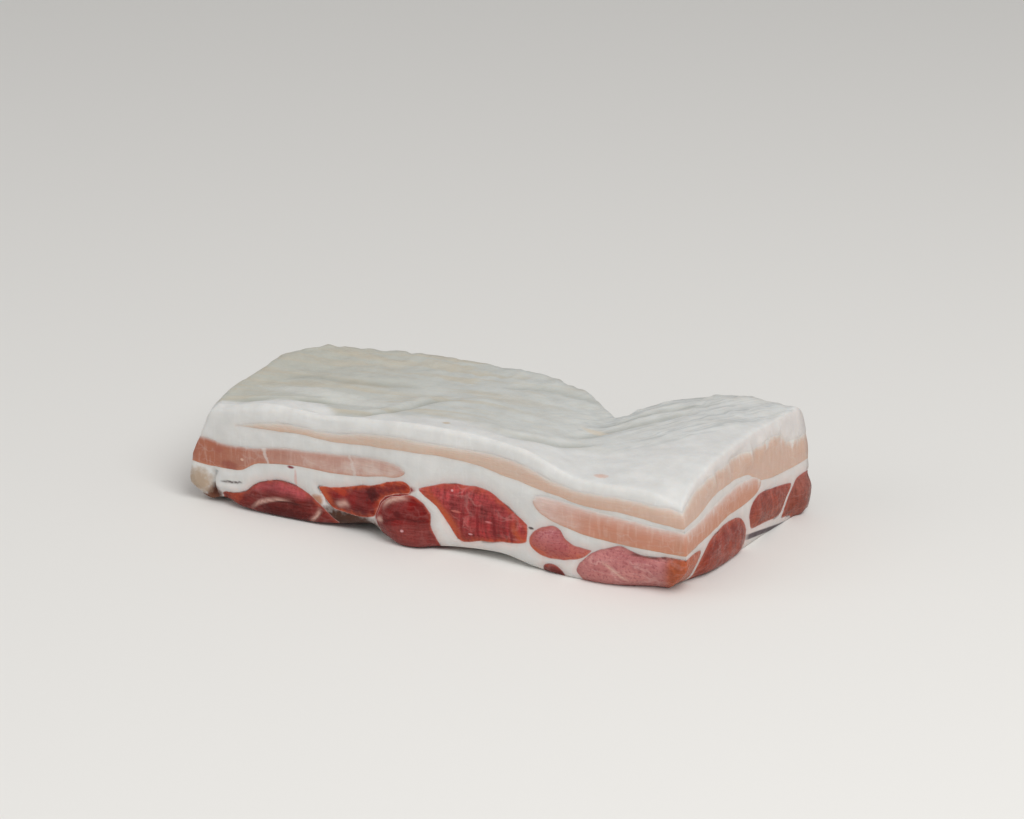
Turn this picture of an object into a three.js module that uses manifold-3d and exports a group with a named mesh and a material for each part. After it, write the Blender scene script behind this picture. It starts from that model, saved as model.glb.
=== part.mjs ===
// Raw pork belly slab, skin removed, cut square on its long side and on its right end.
// Millimetres. +X runs along the long cut side, +Y to the rear, +Z up. The slab rests on z = 0.
// White fat holds the slab together. Bands and bars of lean run through it and show where it is cut.
import * as THREE from 'three';
import Module from 'manifold-3d';

const wasm = await Module();
wasm.setup();

// Driving dimensions

const depth = 117;               // front to rear at the right end
const middleHeight = 0.42;       // share of the height at which the sides stand furthest out
const leanGap = 0.3;             // room between a piece of lean and the fat round it

const shellSteps = { along: 23, across: 8, up: [0, 0.07, 0.2, 0.42, 0.75, 0.93, 1] };

// Plan outline at its widest level: each side as a few stations, in x, y.
const outline = {
  front: [[-118, 2], [-95, 0], [-40, 0], [-8, -2.5], [20, 0], [92, -1.5], [125, 0]],
  rear: [
    [-112, 103], [-88, 109], [-36, 112], [4, 108], [30, 99.5], [47, 89.5], [54, 85.5], [66, 104],
    [92, 120], [131, 116],
  ],
  left: [[-118, 2], [-122, 45], [-123, 82], [-112, 103]],
  right: [[125, 0], [124.5, 40], [126, 76], [130, 115]],
};

// How far each side draws in from the widest level to the underside and to the top, as a lean
// and as the rounding of the edge, and the powers that shape both.
const drawIn = {
  front: { bottom: -0.5, top: 0 },
  rear: { bottom: 2, top: 3 },
  left: { bottom: 2, top: 10.5 },
  right: { bottom: 1, top: 2 },
};
const edgeRound = { bottom: 1.8, top: 2 };
const sidePower = { bottomLean: 2, bottomRound: 8, topLean: 1.15, topRound: 14 };
const leftStandsUp = 0.45;       // how much less the left end draws in towards the rear
const cornerTuck = { x: 9, y: 7, reach: 0.1, power: 1.6 };    // the front right corner, rounded off below

// Heights of the top along the front and the rear, in x, z.
const topFront = [
  [-115, 44.5], [-104, 47], [-76, 52.4], [-49, 50.9], [-9, 55.2], [20, 54.8],
  [46, 53], [60, 48.8], [73, 44.5], [100, 44], [125, 44],
];
const topRear = [
  [-112, 46.4], [-100, 44.6], [-88, 43.6], [-72, 44.3], [-56, 44.9], [-30, 45.4], [8, 46.8],
  [32, 44.6], [52, 40.3], [60, 43.4], [68, 46], [80, 47.4], [98, 50], [131, 50.2],
];
// From front to rear the top eases over: softly at the left, and quickly at the right end.
const topEase = { from: 40, over: 80, left: 1.3, right: 5 };
const cornerDroop = { x: 122, y: -1, fall: 5, reach: 9 };

// Lift of the underside along the front edge, in x, z, and how far in it reaches.
const frontLift = [
  [-118, 6], [-110, 2.2], [-102, 4.6], [-90, 1.2], [-56, 1], [-40, 3.4], [-26, 6.6],
  [-17, 2], [-6, 0], [16, 3.2], [38, 4.6], [54, 1.5], [70, 0], [100, 0], [118, 1],
];
const frontLiftReach = 17;
const frontLiftPower = 1.5;

// A lean piece is drawn on a ruled plan: a ray leaves the near side (the left end and the front)
// and meets the far side (the rear and the right end). Both sides are measured as one running
// length: near runs down the left end and on as x, far runs as x and on down the right end.
const nearCorner = -118;
const farCorner = 128;
const nearLine = { y: 0, endY: -2, from: 100, over: 22 };         // y of the front, as x goes up
const farLine = { y: 101, endY: depth, from: -110, over: 200 };   // y of the rear, as x goes up
const endLine = { x: farCorner, frontX: 125, over: 60 };          // x of the right end, going forward
const middleLine = 70;           // half the length of the slab's middle line
const rayReach = 14;             // how far a ray runs on outside the slab
const rayBow = { share: 0.22, longest: 60 };        // rays bow towards the rear left
const thinnest = 0.4;            // half thickness of a band of lean at its closed edge
const cornerReach = 5;           // how far the lean's first and last columns stand outside the slab

const upperLean = {
  columns: [[-94, -34], [-50, 40], [0, 128], [60, 188], [122, 243]],
  steps: { along: 18, across: 5 },
  nearTop: [
    [-94, 39.8], [-70, 45], [-49, 44.3], [-10, 49.2], [20, 48.8], [45, 47.6], [67, 41.6], [96, 40.8],
    [122, 38.4],
  ],
  nearBottom: [
    [-94, 39.3], [-60, 41.3], [-46, 40.4], [5, 44.1], [39, 40.4], [67, 35.8], [96, 33.9], [122, 31.8],
  ],
  farTop: [
    [-34, 41.4], [0, 42], [32, 38], [50, 33.6], [66, 36], [90, 42.6], [126, 38.5], [148, 38.6],
    [153, 43.6], [175, 44.4], [197, 45.6], [232, 44.6], [243, 39.4],
  ],
  farBottom: [
    [-34, 41], [0, 36.6], [32, 32.6], [50, 29], [66, 29.4], [90, 31.5], [134, 25.6], [171, 27.8],
    [181, 34], [212, 36.6], [228, 34], [243, 31.8],
  ],
  closed: { start: 9, end: 0 },
};
const topFat = { least: 5.8, atCorner: 0.8, reach: 30 };    // fat over the upper lean

const middleLeanLeft = {
  columns: [[-184, -74], [-118, -8], [-60, 58], [-7, 112]],
  steps: { along: 14, across: 5 },
  nearTop: [[-184, 30], [-150, 31], [-112, 30.3], [-101, 29.6], [-66, 33.6], [-30, 36.2], [-7, 36.6]],
  nearBottom: [
    [-184, 19.4], [-150, 19.6], [-117, 18.2], [-92, 18.6], [-77, 24.6], [-42, 25.9], [-19, 29.4], [-7, 30.6],
  ],
  farTop: [[-74, 29], [-40, 30.4], [0, 29], [60, 23.8], [112, 27]],
  farBottom: [[-74, 19.6], [-40, 22.6], [0, 21.4], [60, 19.8], [112, 22.4]],
  closed: { start: 0, end: 8 },
};

const middleLeanRight = {
  columns: [[54, 170], [84, 201], [122, 243]],
  steps: { along: 11, across: 5 },
  nearTop: [[54, 34.2], [66, 33.8], [78, 32.8], [90, 32], [122, 30.4]],
  nearBottom: [[54, 28], [59, 25.6], [67, 22.8], [78, 21.2], [96, 19.8], [122, 19.8]],
  farTop: [[170, 28], [178, 29.6], [188, 32.4], [203, 33], [212, 32.4], [230, 30.8], [243, 29.8]],
  farBottom: [[170, 26], [178, 24.6], [184, 23], [203, 22.4], [222, 21], [243, 20]],
  closed: { start: 4, end: 0 },
};

// The bottom layer is a row of bars of lean, parted by seams of fat. Each seam is a wall.
// near and far are its places at each of its levels in height, half its half width at each.
const wallFoot = -4;
const wallHead = 34;
const seams = [
  { levels: [wallFoot, wallHead], near: [-154, -158], far: [-46, -42], half: [2, 1.6] },
  { levels: [wallFoot, wallHead], near: [-110, -114], far: [0, 4], half: [6, 3] },
  { levels: [wallFoot, wallHead], near: [-37, -73], far: [70, 76], half: [2.3, 2.1] },
  {
    levels: [wallFoot, 12, 21, 24.5, wallHead],
    near: [-24, -20, -13, -3, 0],
    far: [124, 125, 126, 127, 128],
    half: [0.2, 0.2, 0.2, 0.2, 0.2],
  },
  { levels: [wallFoot, wallHead], near: [18.5, -1], far: [152, 150], half: [4.6, 1.4] },
  { levels: [wallFoot, wallHead], near: [52, 52.5], far: [178, 180.5], half: [1.7, 1.3] },
  { levels: [wallFoot, wallHead], near: [68, 92], far: [228, 232], half: [1, 0.8] },
];
const thinSeam = 0.5;            // a seam thinner than this holds no fat: the bars just touch

// Heights over each bar, from its left seam over its peak to its right seam, near and far.
const barColumns = [
  [-190, -80], [-156, -44], [-112, 2], [-51, 72], [-12, 126], [9, 151], [52, 180], [77, 229], [122, 243],
];
const bars = [
  { near: [13, 16.6, 13, 0.5], far: [12, 16.4, 14, 0.5] },
  { near: [13, 16.4, 6, 0.4], far: [14, 19, 15, 0.5] },
  { near: [1.5, 16.4, 13.5, 0.66], far: [14, 18.8, 15, 0.5] },
  { near: [17.6, 26, 26.6, 0.95], far: [15, 19.4, 17, 0.5] },
  { near: [26.6, 29.4, 30.4, 0.6], far: [18, 21.6, 20.6, 0.6] },
  { near: [30.4, 31.9, 17.4, 0.42], far: [20.6, 23.6, 19, 0.66] },
  { near: [17.4, 22.6, 15.4, 0.46], far: [18.6, 21.2, 16.6, 0.46] },
  { near: [15.6, 18.4, 16.8, 0.35], far: [16.8, 17.8, 16.8, 0.5] },
];
const barFall = 2.1;             // how squarely a bar's back falls to its seams
const barSteps = { each: 4, across: 5 };
const barFoot = -1;              // a bar with this foot reaches the underside
const footRun = { near: 0.25, far: 0.5, over: 0.4 };    // where along a bar its lifted feet end
const barFootNear = [
  [-190, -1], [-49, -1], [-46, 9.2], [-28, 9.4], [-24, -1], [12, -1], [16, 7.4], [50, 7], [72, 7.6], [78, -1],
  [122, -1],
];
const barFootFar = [[-80, -1], [137, -1], [144, 4.4], [174, 4.8], [181, -1], [243, -1]];

// A thin strip of lean shows at the foot of the front, under the seventh bar.
const stripLean = { from: [59, -6], to: [70, 13], width: 10, height: 4.6, taper: 0.4, along: 3, round: 6 };

// Plain maths

const lerp = (a, b, f) => a + (b - a) * f;
const clamp01 = (f) => Math.min(1, Math.max(0, f));
const smooth = (f) => clamp01(f) ** 2 * (3 - 2 * clamp01(f));

// A smooth run through stations [at, value], level beyond both ends.
function through(stations, at) {
  const last = stations.length - 1;
  if (at <= stations[0][0]) return stations[0][1];
  if (at >= stations[last][0]) return stations[last][1];
  const k = stations.findIndex((station) => station[0] > at) - 1;
  const slope = (n) => {
    const before = stations[Math.max(0, n - 1)];
    const after = stations[Math.min(last, n + 1)];
    return (after[1] - before[1]) / (after[0] - before[0]);
  };
  const [x0, y0] = stations[k];
  const [x1, y1] = stations[k + 1];
  const span = x1 - x0;
  const f = (at - x0) / span;
  const g = 1 - f;
  const bend = span * f * g * (slope(k) * g - slope(k + 1) * f);
  return y0 * g * g * (1 + 2 * f) + y1 * f * f * (3 - 2 * f) + bend;
}

// A plan curve through its stations, with f from 0 to 1 spread by the distance between them.
function planCurve(points) {
  const lengths = [0];
  for (let n = 1; n < points.length; n += 1) {
    const [x, y] = points[n];
    const [beforeX, beforeY] = points[n - 1];
    lengths.push(lengths[n - 1] + Math.hypot(x - beforeX, y - beforeY));
  }
  const total = lengths[points.length - 1];
  const alongX = points.map((point, n) => [lengths[n] / total, point[0]]);
  const alongY = points.map((point, n) => [lengths[n] / total, point[1]]);
  return (f) => [through(alongX, f), through(alongY, f)];
}

// Closed solids on a lattice

// The six sides of a bent box of ni x nj x nk cells, where point(i, j, k) gives each corner.
function latticeSolid(ni, nj, nk, point) {
  const positions = [];
  const triangles = [];
  const known = new Map();
  const vertex = (i, j, k) => {
    const key = (i * (nj + 1) + j) * (nk + 1) + k;
    if (!known.has(key)) {
      known.set(key, positions.length / 3);
      positions.push(...point(i, j, k));
    }
    return known.get(key);
  };
  const quad = (a, b, c, d) => triangles.push(a, b, c, a, c, d);
  for (let i = 0; i < ni; i += 1) {
    for (let j = 0; j < nj; j += 1) {
      quad(vertex(i, j, 0), vertex(i, j + 1, 0), vertex(i + 1, j + 1, 0), vertex(i + 1, j, 0));
      quad(vertex(i, j, nk), vertex(i + 1, j, nk), vertex(i + 1, j + 1, nk), vertex(i, j + 1, nk));
    }
    for (let k = 0; k < nk; k += 1) {
      quad(vertex(i, 0, k), vertex(i + 1, 0, k), vertex(i + 1, 0, k + 1), vertex(i, 0, k + 1));
      quad(vertex(i, nj, k), vertex(i, nj, k + 1), vertex(i + 1, nj, k + 1), vertex(i + 1, nj, k));
    }
  }
  for (let j = 0; j < nj; j += 1) {
    for (let k = 0; k < nk; k += 1) {
      quad(vertex(0, j, k), vertex(0, j, k + 1), vertex(0, j + 1, k + 1), vertex(0, j + 1, k));
      quad(vertex(ni, j, k), vertex(ni, j + 1, k), vertex(ni, j + 1, k + 1), vertex(ni, j, k + 1));
    }
  }
  const vertProperties = new Float32Array(positions);
  const triVerts = new Uint32Array(triangles);
  return new wasm.Manifold(new wasm.Mesh({ numProp: 3, vertProperties, triVerts }));
}

// The slab's outer form

const frontCurve = planCurve(outline.front);
const rearCurve = planCurve(outline.rear);
const leftCurve = planCurve(outline.left);
const rightCurve = planCurve(outline.right);

// Plan position at its widest level, spread between the four sides.
function planPoint(u, v) {
  const corners = [frontCurve(0), frontCurve(1), rearCurve(0), rearCurve(1)];
  const sides = [frontCurve(u), rearCurve(u), leftCurve(v), rightCurve(v)];
  return [0, 1].map((n) => {
    const ruled = lerp(sides[0][n], sides[1][n], v) + lerp(sides[2][n], sides[3][n], u);
    const flat = lerp(lerp(corners[0][n], corners[1][n], u), lerp(corners[2][n], corners[3][n], u), v);
    return ruled - flat;
  });
}

// How far a side stands back at height share w.
function setBack(side, w) {
  if (w < middleHeight) {
    const low = (middleHeight - w) / middleHeight;
    return side.bottom * low ** sidePower.bottomLean + edgeRound.bottom * low ** sidePower.bottomRound;
  }
  const high = (w - middleHeight) / (1 - middleHeight);
  return side.top * high ** sidePower.topLean + edgeRound.top * high ** sidePower.topRound;
}

// The front right corner's tuck: strong at the foot, none above the middle.
function tuck(u, v, w) {
  const low = clamp01(1 - w / middleHeight) ** cornerTuck.power;
  const near = Math.exp(-((1 - u) ** 2 + (v / 2) ** 2) / cornerTuck.reach ** 2);
  return low * near;
}

function topHeight(x, y) {
  const towardsEnd = smooth((x - topEase.from) / topEase.over);
  const share = 1 - (1 - clamp01(y / depth)) ** lerp(topEase.left, topEase.right, towardsEnd);
  const level = lerp(through(topFront, x), through(topRear, x), share);
  const fromCorner = Math.hypot(x - cornerDroop.x, y - cornerDroop.y) / cornerDroop.reach;
  return level - cornerDroop.fall * Math.exp(-(fromCorner ** 2));
}

function bottomHeight(x, y) {
  const near = clamp01(1 - y / frontLiftReach);
  return Math.max(0, through(frontLift, x) * near ** frontLiftPower);
}

function shellPoint(u, v, w) {
  const [planX, planY] = planPoint(u, v);
  const tucked = tuck(u, v, w);
  const leftIn = setBack(drawIn.left, w) * (1 - leftStandsUp * v);
  const x = planX + leftIn * (1 - u) - setBack(drawIn.right, w) * u - cornerTuck.x * tucked;
  const y = planY + setBack(drawIn.front, w) * (1 - v) - setBack(drawIn.rear, w) * v + cornerTuck.y * tucked;
  return [x, y, lerp(bottomHeight(x, y), topHeight(x, y), w)];
}

function slabShell() {
  const { along, across, up } = shellSteps;
  return latticeSolid(along, across, up.length - 1, (i, j, k) => shellPoint(i / along, j / across, up[k]));
}

// The ruled plan of the lean

// Points on the near side and on the far side at a running length.
function nearPoint(at) {
  if (at < nearCorner) return [nearCorner, nearCorner - at];
  return [at, lerp(nearLine.y, nearLine.endY, smooth((at - nearLine.from) / nearLine.over))];
}

function farPoint(at) {
  const past = at - farCorner;
  if (past > 0) return [lerp(endLine.x, endLine.frontX, clamp01(past / endLine.over)), depth - past];
  return [at, lerp(farLine.y, farLine.endY, clamp01((at - farLine.from) / farLine.over))];
}

// A point moved straight out of the slab, away from its long middle line.
function outward(point, distance) {
  const middleX = Math.min(middleLine, Math.max(-middleLine, point[0]));
  const away = new THREE.Vector2(point[0] - middleX, point[1] - depth / 2).normalize();
  return [point[0] + away.x * distance, point[1] + away.y * distance];
}

// Step j of a ray, moved aside to its right. Its first and last steps stand outside the slab.
function onRay(near, far, j, across, aside) {
  const ray = new THREE.Vector2(far[0] - near[0], far[1] - near[1]);
  const long = ray.length();
  const share = clamp01((j - 1) / (across - 2));
  const bow = rayBow.share * Math.min(rayBow.longest, long) * 4 * share * (1 - share) - aside;
  let plan = [near[0] + ray.x * share, near[1] + ray.y * share];
  if (j === 0 || j === across) plan = outward(plan, rayReach);
  return { plan: [plan[0] - (ray.y / long) * bow, plan[1] + (ray.x / long) * bow], share };
}

// Running lengths [near, far] at share f of a list of columns.
function columnAt(columns, f) {
  const place = f * (columns.length - 1);
  const k = Math.min(columns.length - 2, Math.floor(place));
  return [0, 1].map((n) => lerp(columns[k][n], columns[k + 1][n], place - k));
}

// How far column i stands aside: past the slab's corner unless the piece closes inside the slab.
function sideShift(i, along, grow, closed = { start: 0, end: 0 }) {
  if (i === 0) return -grow - (closed.start ? 0 : cornerReach);
  if (i === along) return grow + (closed.end ? 0 : cornerReach);
  return 0;
}

// Pieces of lean

// Least thickness of the fat over the lean: the slab's front right corner has almost none.
function fatOver(x, y) {
  const fromCorner = Math.hypot(x - cornerDroop.x, y - cornerDroop.y) / topFat.reach;
  return lerp(topFat.least, topFat.atCorner, Math.exp(-(fromCorner ** 2)));
}

// A band of lean between two height runs, rounded off where it ends inside the slab.
function leanBand(band, grow) {
  const { along, across } = band.steps;
  const first = band.columns[0][0];
  const last = band.columns[band.columns.length - 1][0];
  return latticeSolid(along, across, 1, (i, j, k) => {
    const [nearAt, farAt] = columnAt(band.columns, i / along);
    const aside = sideShift(i, along, grow, band.closed);
    const { plan, share } = onRay(nearPoint(nearAt), farPoint(farAt), j, across, aside);
    const top = lerp(through(band.nearTop, nearAt), through(band.farTop, farAt), share);
    const bottom = lerp(through(band.nearBottom, nearAt), through(band.farBottom, farAt), share);
    const fromStart = band.closed.start ? clamp01((nearAt - first) / band.closed.start) : 1;
    const fromEnd = band.closed.end ? clamp01((last - nearAt) / band.closed.end) : 1;
    const full = Math.sqrt(1 - (1 - fromStart) ** 2) * Math.sqrt(1 - (1 - fromEnd) ** 2);
    const half = Math.max(thinnest, ((top - bottom) / 2) * full) + grow;
    const sink = Math.max(0, top - topHeight(...plan) + fatOver(...plan));
    return [...plan, (top + bottom) / 2 + (k === 1 ? half - sink : -half)];
  });
}

// Height over a bar at share f of its width: it falls from its peak to both seams.
function barHeight([left, peak, right, peakAt], f) {
  const foot = f < peakAt ? left : right;
  const away = f < peakAt ? (peakAt - f) / peakAt : (f - peakAt) / (1 - peakAt);
  return lerp(peak, foot, away ** barFall);
}

// The whole bottom layer of lean, before its seams are cut.
function barLayer(grow) {
  const along = barSteps.each * bars.length;
  const across = barSteps.across;
  return latticeSolid(along, across, 1, (i, j, k) => {
    const [nearAt, farAt] = columnAt(barColumns, i / along);
    const { plan, share } = onRay(nearPoint(nearAt), farPoint(farAt), j, across, sideShift(i, along, grow));
    const n = Math.min(bars.length - 1, Math.floor(i / barSteps.each));
    const f = i / barSteps.each - n;
    const top = lerp(barHeight(bars[n].near, f), barHeight(bars[n].far, f), share);
    const nearEnds = smooth((share - footRun.near) / footRun.over);
    const farStarts = smooth((share - footRun.far) / footRun.over);
    const nearFoot = lerp(through(barFootNear, nearAt), barFoot, nearEnds);
    const farFoot = lerp(barFoot, through(barFootFar, farAt), farStarts);
    const foot = Math.max(nearFoot, farFoot);
    return [...plan, k === 1 ? top + grow : foot - grow];
  });
}

// One seam as a wall that leans or steps from its foot to its head.
function seamWall(seam, grow) {
  const across = barSteps.across;
  return latticeSolid(1, across, seam.levels.length - 1, (i, j, k) => {
    const near = nearPoint(seam.near[k]);
    const far = farPoint(seam.far[k]);
    const half = (seam.half[k] - grow) * (i === 1 ? 1 : -1);
    return [...onRay(near, far, j, across, half).plan, seam.levels[k]];
  });
}

function stripBar(grow) {
  const [x0, y0] = stripLean.from;
  const [x1, y1] = stripLean.to;
  const { along, round } = stripLean;
  return latticeSolid(round, along, 1, (i, j, k) => {
    const side = (i / round) * 2 - 1;
    const share = j / along;
    const narrow = j === along ? stripLean.taper : 1;
    const x = lerp(x0, x1, share) + side * (stripLean.width / 2 + grow) * narrow;
    const rise = Math.max(thinnest, stripLean.height * Math.sqrt(1 - side ** 2)) * narrow;
    return [x, lerp(y0, y1, share), k === 1 ? rise + grow : wallFoot];
  });
}

// Materials

const looks = {
  fat: { color: '#cfcec6', roughness: 0.55, metalness: 0 },
  paleLean: { color: '#b98d78', roughness: 0.45, metalness: 0 },
  redLean: { color: '#93524b', roughness: 0.35, metalness: 0 },
};

// A named mesh from a joined or cut solid.
function piece(name, solid, look) {
  const cut = solid.getMesh();
  const geometry = new THREE.BufferGeometry();
  geometry.setAttribute('position', new THREE.BufferAttribute(new Float32Array(cut.vertProperties), 3));
  geometry.setIndex(new THREE.BufferAttribute(new Uint32Array(cut.triVerts), 1));
  geometry.computeVertexNormals();
  const mesh = new THREE.Mesh(geometry, new THREE.MeshStandardMaterial(look));
  mesh.name = name;
  return mesh;
}

// The slab

const shell = slabShell();
const slab = new THREE.Group();

let leanCut = leanBand(upperLean, leanGap)
  .add(leanBand(middleLeanLeft, leanGap))
  .add(leanBand(middleLeanRight, leanGap))
  .add(stripBar(leanGap));
let barCut = barLayer(leanGap);
let barRow = barLayer(0);
for (const seam of seams) {
  barRow = barRow.subtract(seamWall(seam, 0));
  if (Math.min(...seam.half) > thinSeam) barCut = barCut.subtract(seamWall(seam, leanGap));
}
leanCut = leanCut.add(barCut);

// Where the bars of lean run out at the notch, a crumb of fat comes loose. Only the main body stays.
const volume = (solid) => solid.volume();
const fatSolids = shell.subtract(leanCut).decompose().sort((a, b) => volume(b) - volume(a));
slab.add(piece('fat', fatSolids[0], looks.fat));
slab.add(piece('upper_lean', shell.intersect(leanBand(upperLean, 0)), looks.paleLean));
slab.add(piece('middle_lean_left', shell.intersect(leanBand(middleLeanLeft, 0)), looks.paleLean));
slab.add(piece('middle_lean_right', shell.intersect(leanBand(middleLeanRight, 0)), looks.paleLean));
const middleX = (solid) => (solid.boundingBox().min[0] + solid.boundingBox().max[0]) / 2;
const barSolids = shell.intersect(barRow).decompose().sort((a, b) => middleX(a) - middleX(b));
barSolids.forEach((solid, n) => slab.add(piece(`rib_muscle_${n + 1}`, solid, looks.redLean)));
slab.add(piece('rib_strip', shell.intersect(stripBar(0)), looks.redLean));

// The origin is the middle of the slab's box, on the surface it rests on.
slab.updateMatrixWorld(true);
const box = new THREE.Box3().setFromObject(slab);
slab.position.set(-(box.min.x + box.max.x) / 2, -(box.min.y + box.max.y) / 2, -box.min.z);
slab.updateMatrixWorld(true);

export default slab;
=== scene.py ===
# A raw pork belly slab: white fat with two bands of pale lean and a row of red rib muscles.
# Shapes are worked out in millimetres and set down in metres at the very end of each piece.
import math
import bmesh
import bpy
import numpy as np
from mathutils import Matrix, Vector, kdtree


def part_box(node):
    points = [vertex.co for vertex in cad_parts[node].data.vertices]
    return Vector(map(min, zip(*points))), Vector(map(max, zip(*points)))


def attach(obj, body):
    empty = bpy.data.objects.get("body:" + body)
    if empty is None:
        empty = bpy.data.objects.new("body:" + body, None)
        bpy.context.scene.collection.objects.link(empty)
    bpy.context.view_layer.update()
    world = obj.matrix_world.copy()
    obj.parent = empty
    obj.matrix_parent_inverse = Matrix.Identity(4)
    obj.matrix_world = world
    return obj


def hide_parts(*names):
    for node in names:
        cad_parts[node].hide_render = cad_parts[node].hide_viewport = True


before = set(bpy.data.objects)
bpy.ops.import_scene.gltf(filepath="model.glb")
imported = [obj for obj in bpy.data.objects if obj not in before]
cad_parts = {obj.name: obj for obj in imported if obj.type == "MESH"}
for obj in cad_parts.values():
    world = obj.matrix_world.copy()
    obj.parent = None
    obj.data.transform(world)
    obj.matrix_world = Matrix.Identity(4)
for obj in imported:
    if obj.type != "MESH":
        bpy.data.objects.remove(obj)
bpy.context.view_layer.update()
mm = 0.001

# The slab is drawn from its front left: x along the long cut side, y to the rear, z up.
drawn = {"left": -123.725, "front": -2.388}       # lowest x and y of the drawing
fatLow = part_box("fat")[0]
place = np.array([fatLow.x / mm - drawn["left"], fatLow.y / mm - drawn["front"], 0.0])


# Small maths used all over

def lerp(a, b, f):
    return a + (b - a) * f


def smooth(f):
    f = np.clip(f, 0, 1)
    return f * f * (3 - 2 * f)


def bell(f):
    return np.exp(-f ** 2)


def through(stations, at):
    # a smooth run through [at, value] stations, level beyond both ends
    xs, ys = np.array(stations, dtype=float).T
    slopes = np.empty_like(ys)
    slopes[1:-1] = (ys[2:] - ys[:-2]) / (xs[2:] - xs[:-2])
    slopes[0] = (ys[1] - ys[0]) / (xs[1] - xs[0])
    slopes[-1] = (ys[-1] - ys[-2]) / (xs[-1] - xs[-2])
    at = np.clip(at, xs[0], xs[-1])
    k = np.clip(np.searchsorted(xs, at, side="right") - 1, 0, len(xs) - 2)
    span = xs[k + 1] - xs[k]
    f = (at - xs[k]) / span
    g = 1 - f
    bend = span * f * g * (slopes[k] * g - slopes[k + 1] * f)
    return ys[k] * g * g * (1 + 2 * f) + ys[k + 1] * f * f * (3 - 2 * f) + bend


def planCurve(points):
    points = np.array(points, dtype=float)
    run = np.concatenate([[0], np.cumsum(np.hypot(*np.diff(points, axis=0).T))])
    alongX = np.column_stack([run / run[-1], points[:, 0]])
    alongY = np.column_stack([run / run[-1], points[:, 1]])
    return lambda f: (through(alongX, f), through(alongY, f))


def lumps(points, size, seed, octaves=2, cells=24):
    # smooth seeded unevenness from -1 to 1 over lumps of a size in mm
    total = np.zeros(len(points))
    weight = 1.0
    for octave in range(octaves):
        table = np.random.default_rng(seed + octave).uniform(-1, 1, (cells, cells, cells))
        spot = points / (size / 2 ** octave) + 100
        cell = np.floor(spot).astype(int)
        f = smooth(spot - cell)
        value = np.zeros(len(points))
        for corner in range(8):
            step = np.array([corner & 1, corner >> 1 & 1, corner >> 2 & 1])
            share = np.prod(np.where(step == 1, f, 1 - f), axis=1)
            a, b, c = ((cell + step) % cells).T
            value += share * table[a, b, c]
        total += weight * value
        weight *= 0.5
    return total


def runLength(points, path, steps=60):
    # distance from each point to a drawn path, how far along it from 0 to 1, and on which side
    fine = np.column_stack(planCurve(path)(np.linspace(0, 1, steps)))
    best = np.full(len(points), 1e9)
    along = np.zeros(len(points))
    side = np.zeros(len(points))
    for n in range(len(fine) - 1):
        step = fine[n + 1] - fine[n]
        f = np.clip(((points - fine[n]) @ step) / (step @ step), 0, 1)
        away = points - fine[n] - f[:, None] * step
        gap = np.hypot(away[:, 0], away[:, 1])
        near = gap < best
        best = np.where(near, gap, best)
        along = np.where(near, (n + f) / (len(fine) - 1), along)
        side = np.where(near, np.sign(step[0] * away[:, 1] - step[1] * away[:, 0]), side)
    return best, along, side


def fadeEnds(along, start, end=None):
    return smooth(along / start) * smooth((1 - along) / (end or start))


# The slab's outer form

slab = {
    "depth": 117,
    "widestAt": 0.42,
    "front": [(-118, 2), (-95, 0), (-40, 0), (-8, -2.5), (20, 0), (92, -1.5), (125, 0)],
    "rear": [(-112, 103), (-88, 109), (-36, 112), (4, 108), (30, 99.5), (47, 89.5), (54, 85.5), (66, 104),
             (92, 120), (131, 116)],
    "left": [(-118, 2), (-122, 45), (-123, 82), (-112, 103)],
    "right": [(125, 0), (124.5, 40), (126, 76), (130, 115)],
    "drawInFront": (-0.5, 0), "drawInRear": (2, 3), "drawInLeft": (2, 10.5), "drawInRight": (1, 2),
    "leftStandsUp": 0.45,     # how much less the left end draws in towards the rear
    "drawInPower": (2, 1.15), "edgeRound": (1.8, 2), "edgePower": (8, 14),     # each low, then high
    "tuck": {"x": 9, "y": 7, "reach": 0.1, "power": 1.6},
    "topFront": [(-115, 44.5), (-104, 47), (-76, 52.4), (-49, 50.9), (-9, 55.2), (20, 54.8), (46, 53),
                 (60, 48.8), (73, 44.5), (100, 44), (125, 44)],
    "topRear": [(-112, 46.4), (-100, 44.6), (-88, 43.6), (-72, 44.3), (-56, 44.9), (-30, 45.4), (8, 46.8),
                (32, 44.6), (52, 40.3), (60, 43.4), (68, 46), (80, 47.4), (98, 50), (131, 50.2)],
    "topEase": {"from": 40, "over": 80, "left": 1.3, "right": 5},
    "droop": {"x": 122, "y": -1, "fall": 5, "reach": 9},
    "frontLift": [(-118, 6), (-110, 2.2), (-102, 4.6), (-90, 1.2), (-56, 1), (-40, 3.4), (-26, 6.6), (-17, 2),
                  (-6, 0), (16, 3.2), (38, 4.6), (54, 1.5), (70, 0), (100, 0), (118, 1)],
    "liftReach": 17, "liftPower": 1.5,
    "steps": {"along": 228, "across": 100, "up": 48, "nearFront": 0.5, "nearEdges": 0.45},
}
frontCurve, rearCurve = planCurve(slab["front"]), planCurve(slab["rear"])
leftCurve, rightCurve = planCurve(slab["left"]), planCurve(slab["right"])


def planPoint(u, v):
    ends = [curve(np.array([0.0, 1.0])) for curve in (frontCurve, rearCurve)]
    sides = [frontCurve(u), rearCurve(u), leftCurve(v), rightCurve(v)]
    spot = []
    for n in (0, 1):
        ruled = lerp(sides[0][n], sides[1][n], v) + lerp(sides[2][n], sides[3][n], u)
        flat = lerp(lerp(ends[0][n][0], ends[0][n][1], u), lerp(ends[1][n][0], ends[1][n][1], u), v)
        spot.append(ruled - flat)
    return spot


def setBack(side, w):
    widest = slab["widestAt"]
    low = np.clip((widest - w) / widest, 0, 1)
    high = np.clip((w - widest) / (1 - widest), 0, 1)
    below, above = [
        side[n] * share ** slab["drawInPower"][n] + slab["edgeRound"][n] * share ** slab["edgePower"][n]
        for n, share in enumerate((low, high))]
    return np.where(w < widest, below, above)


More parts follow.
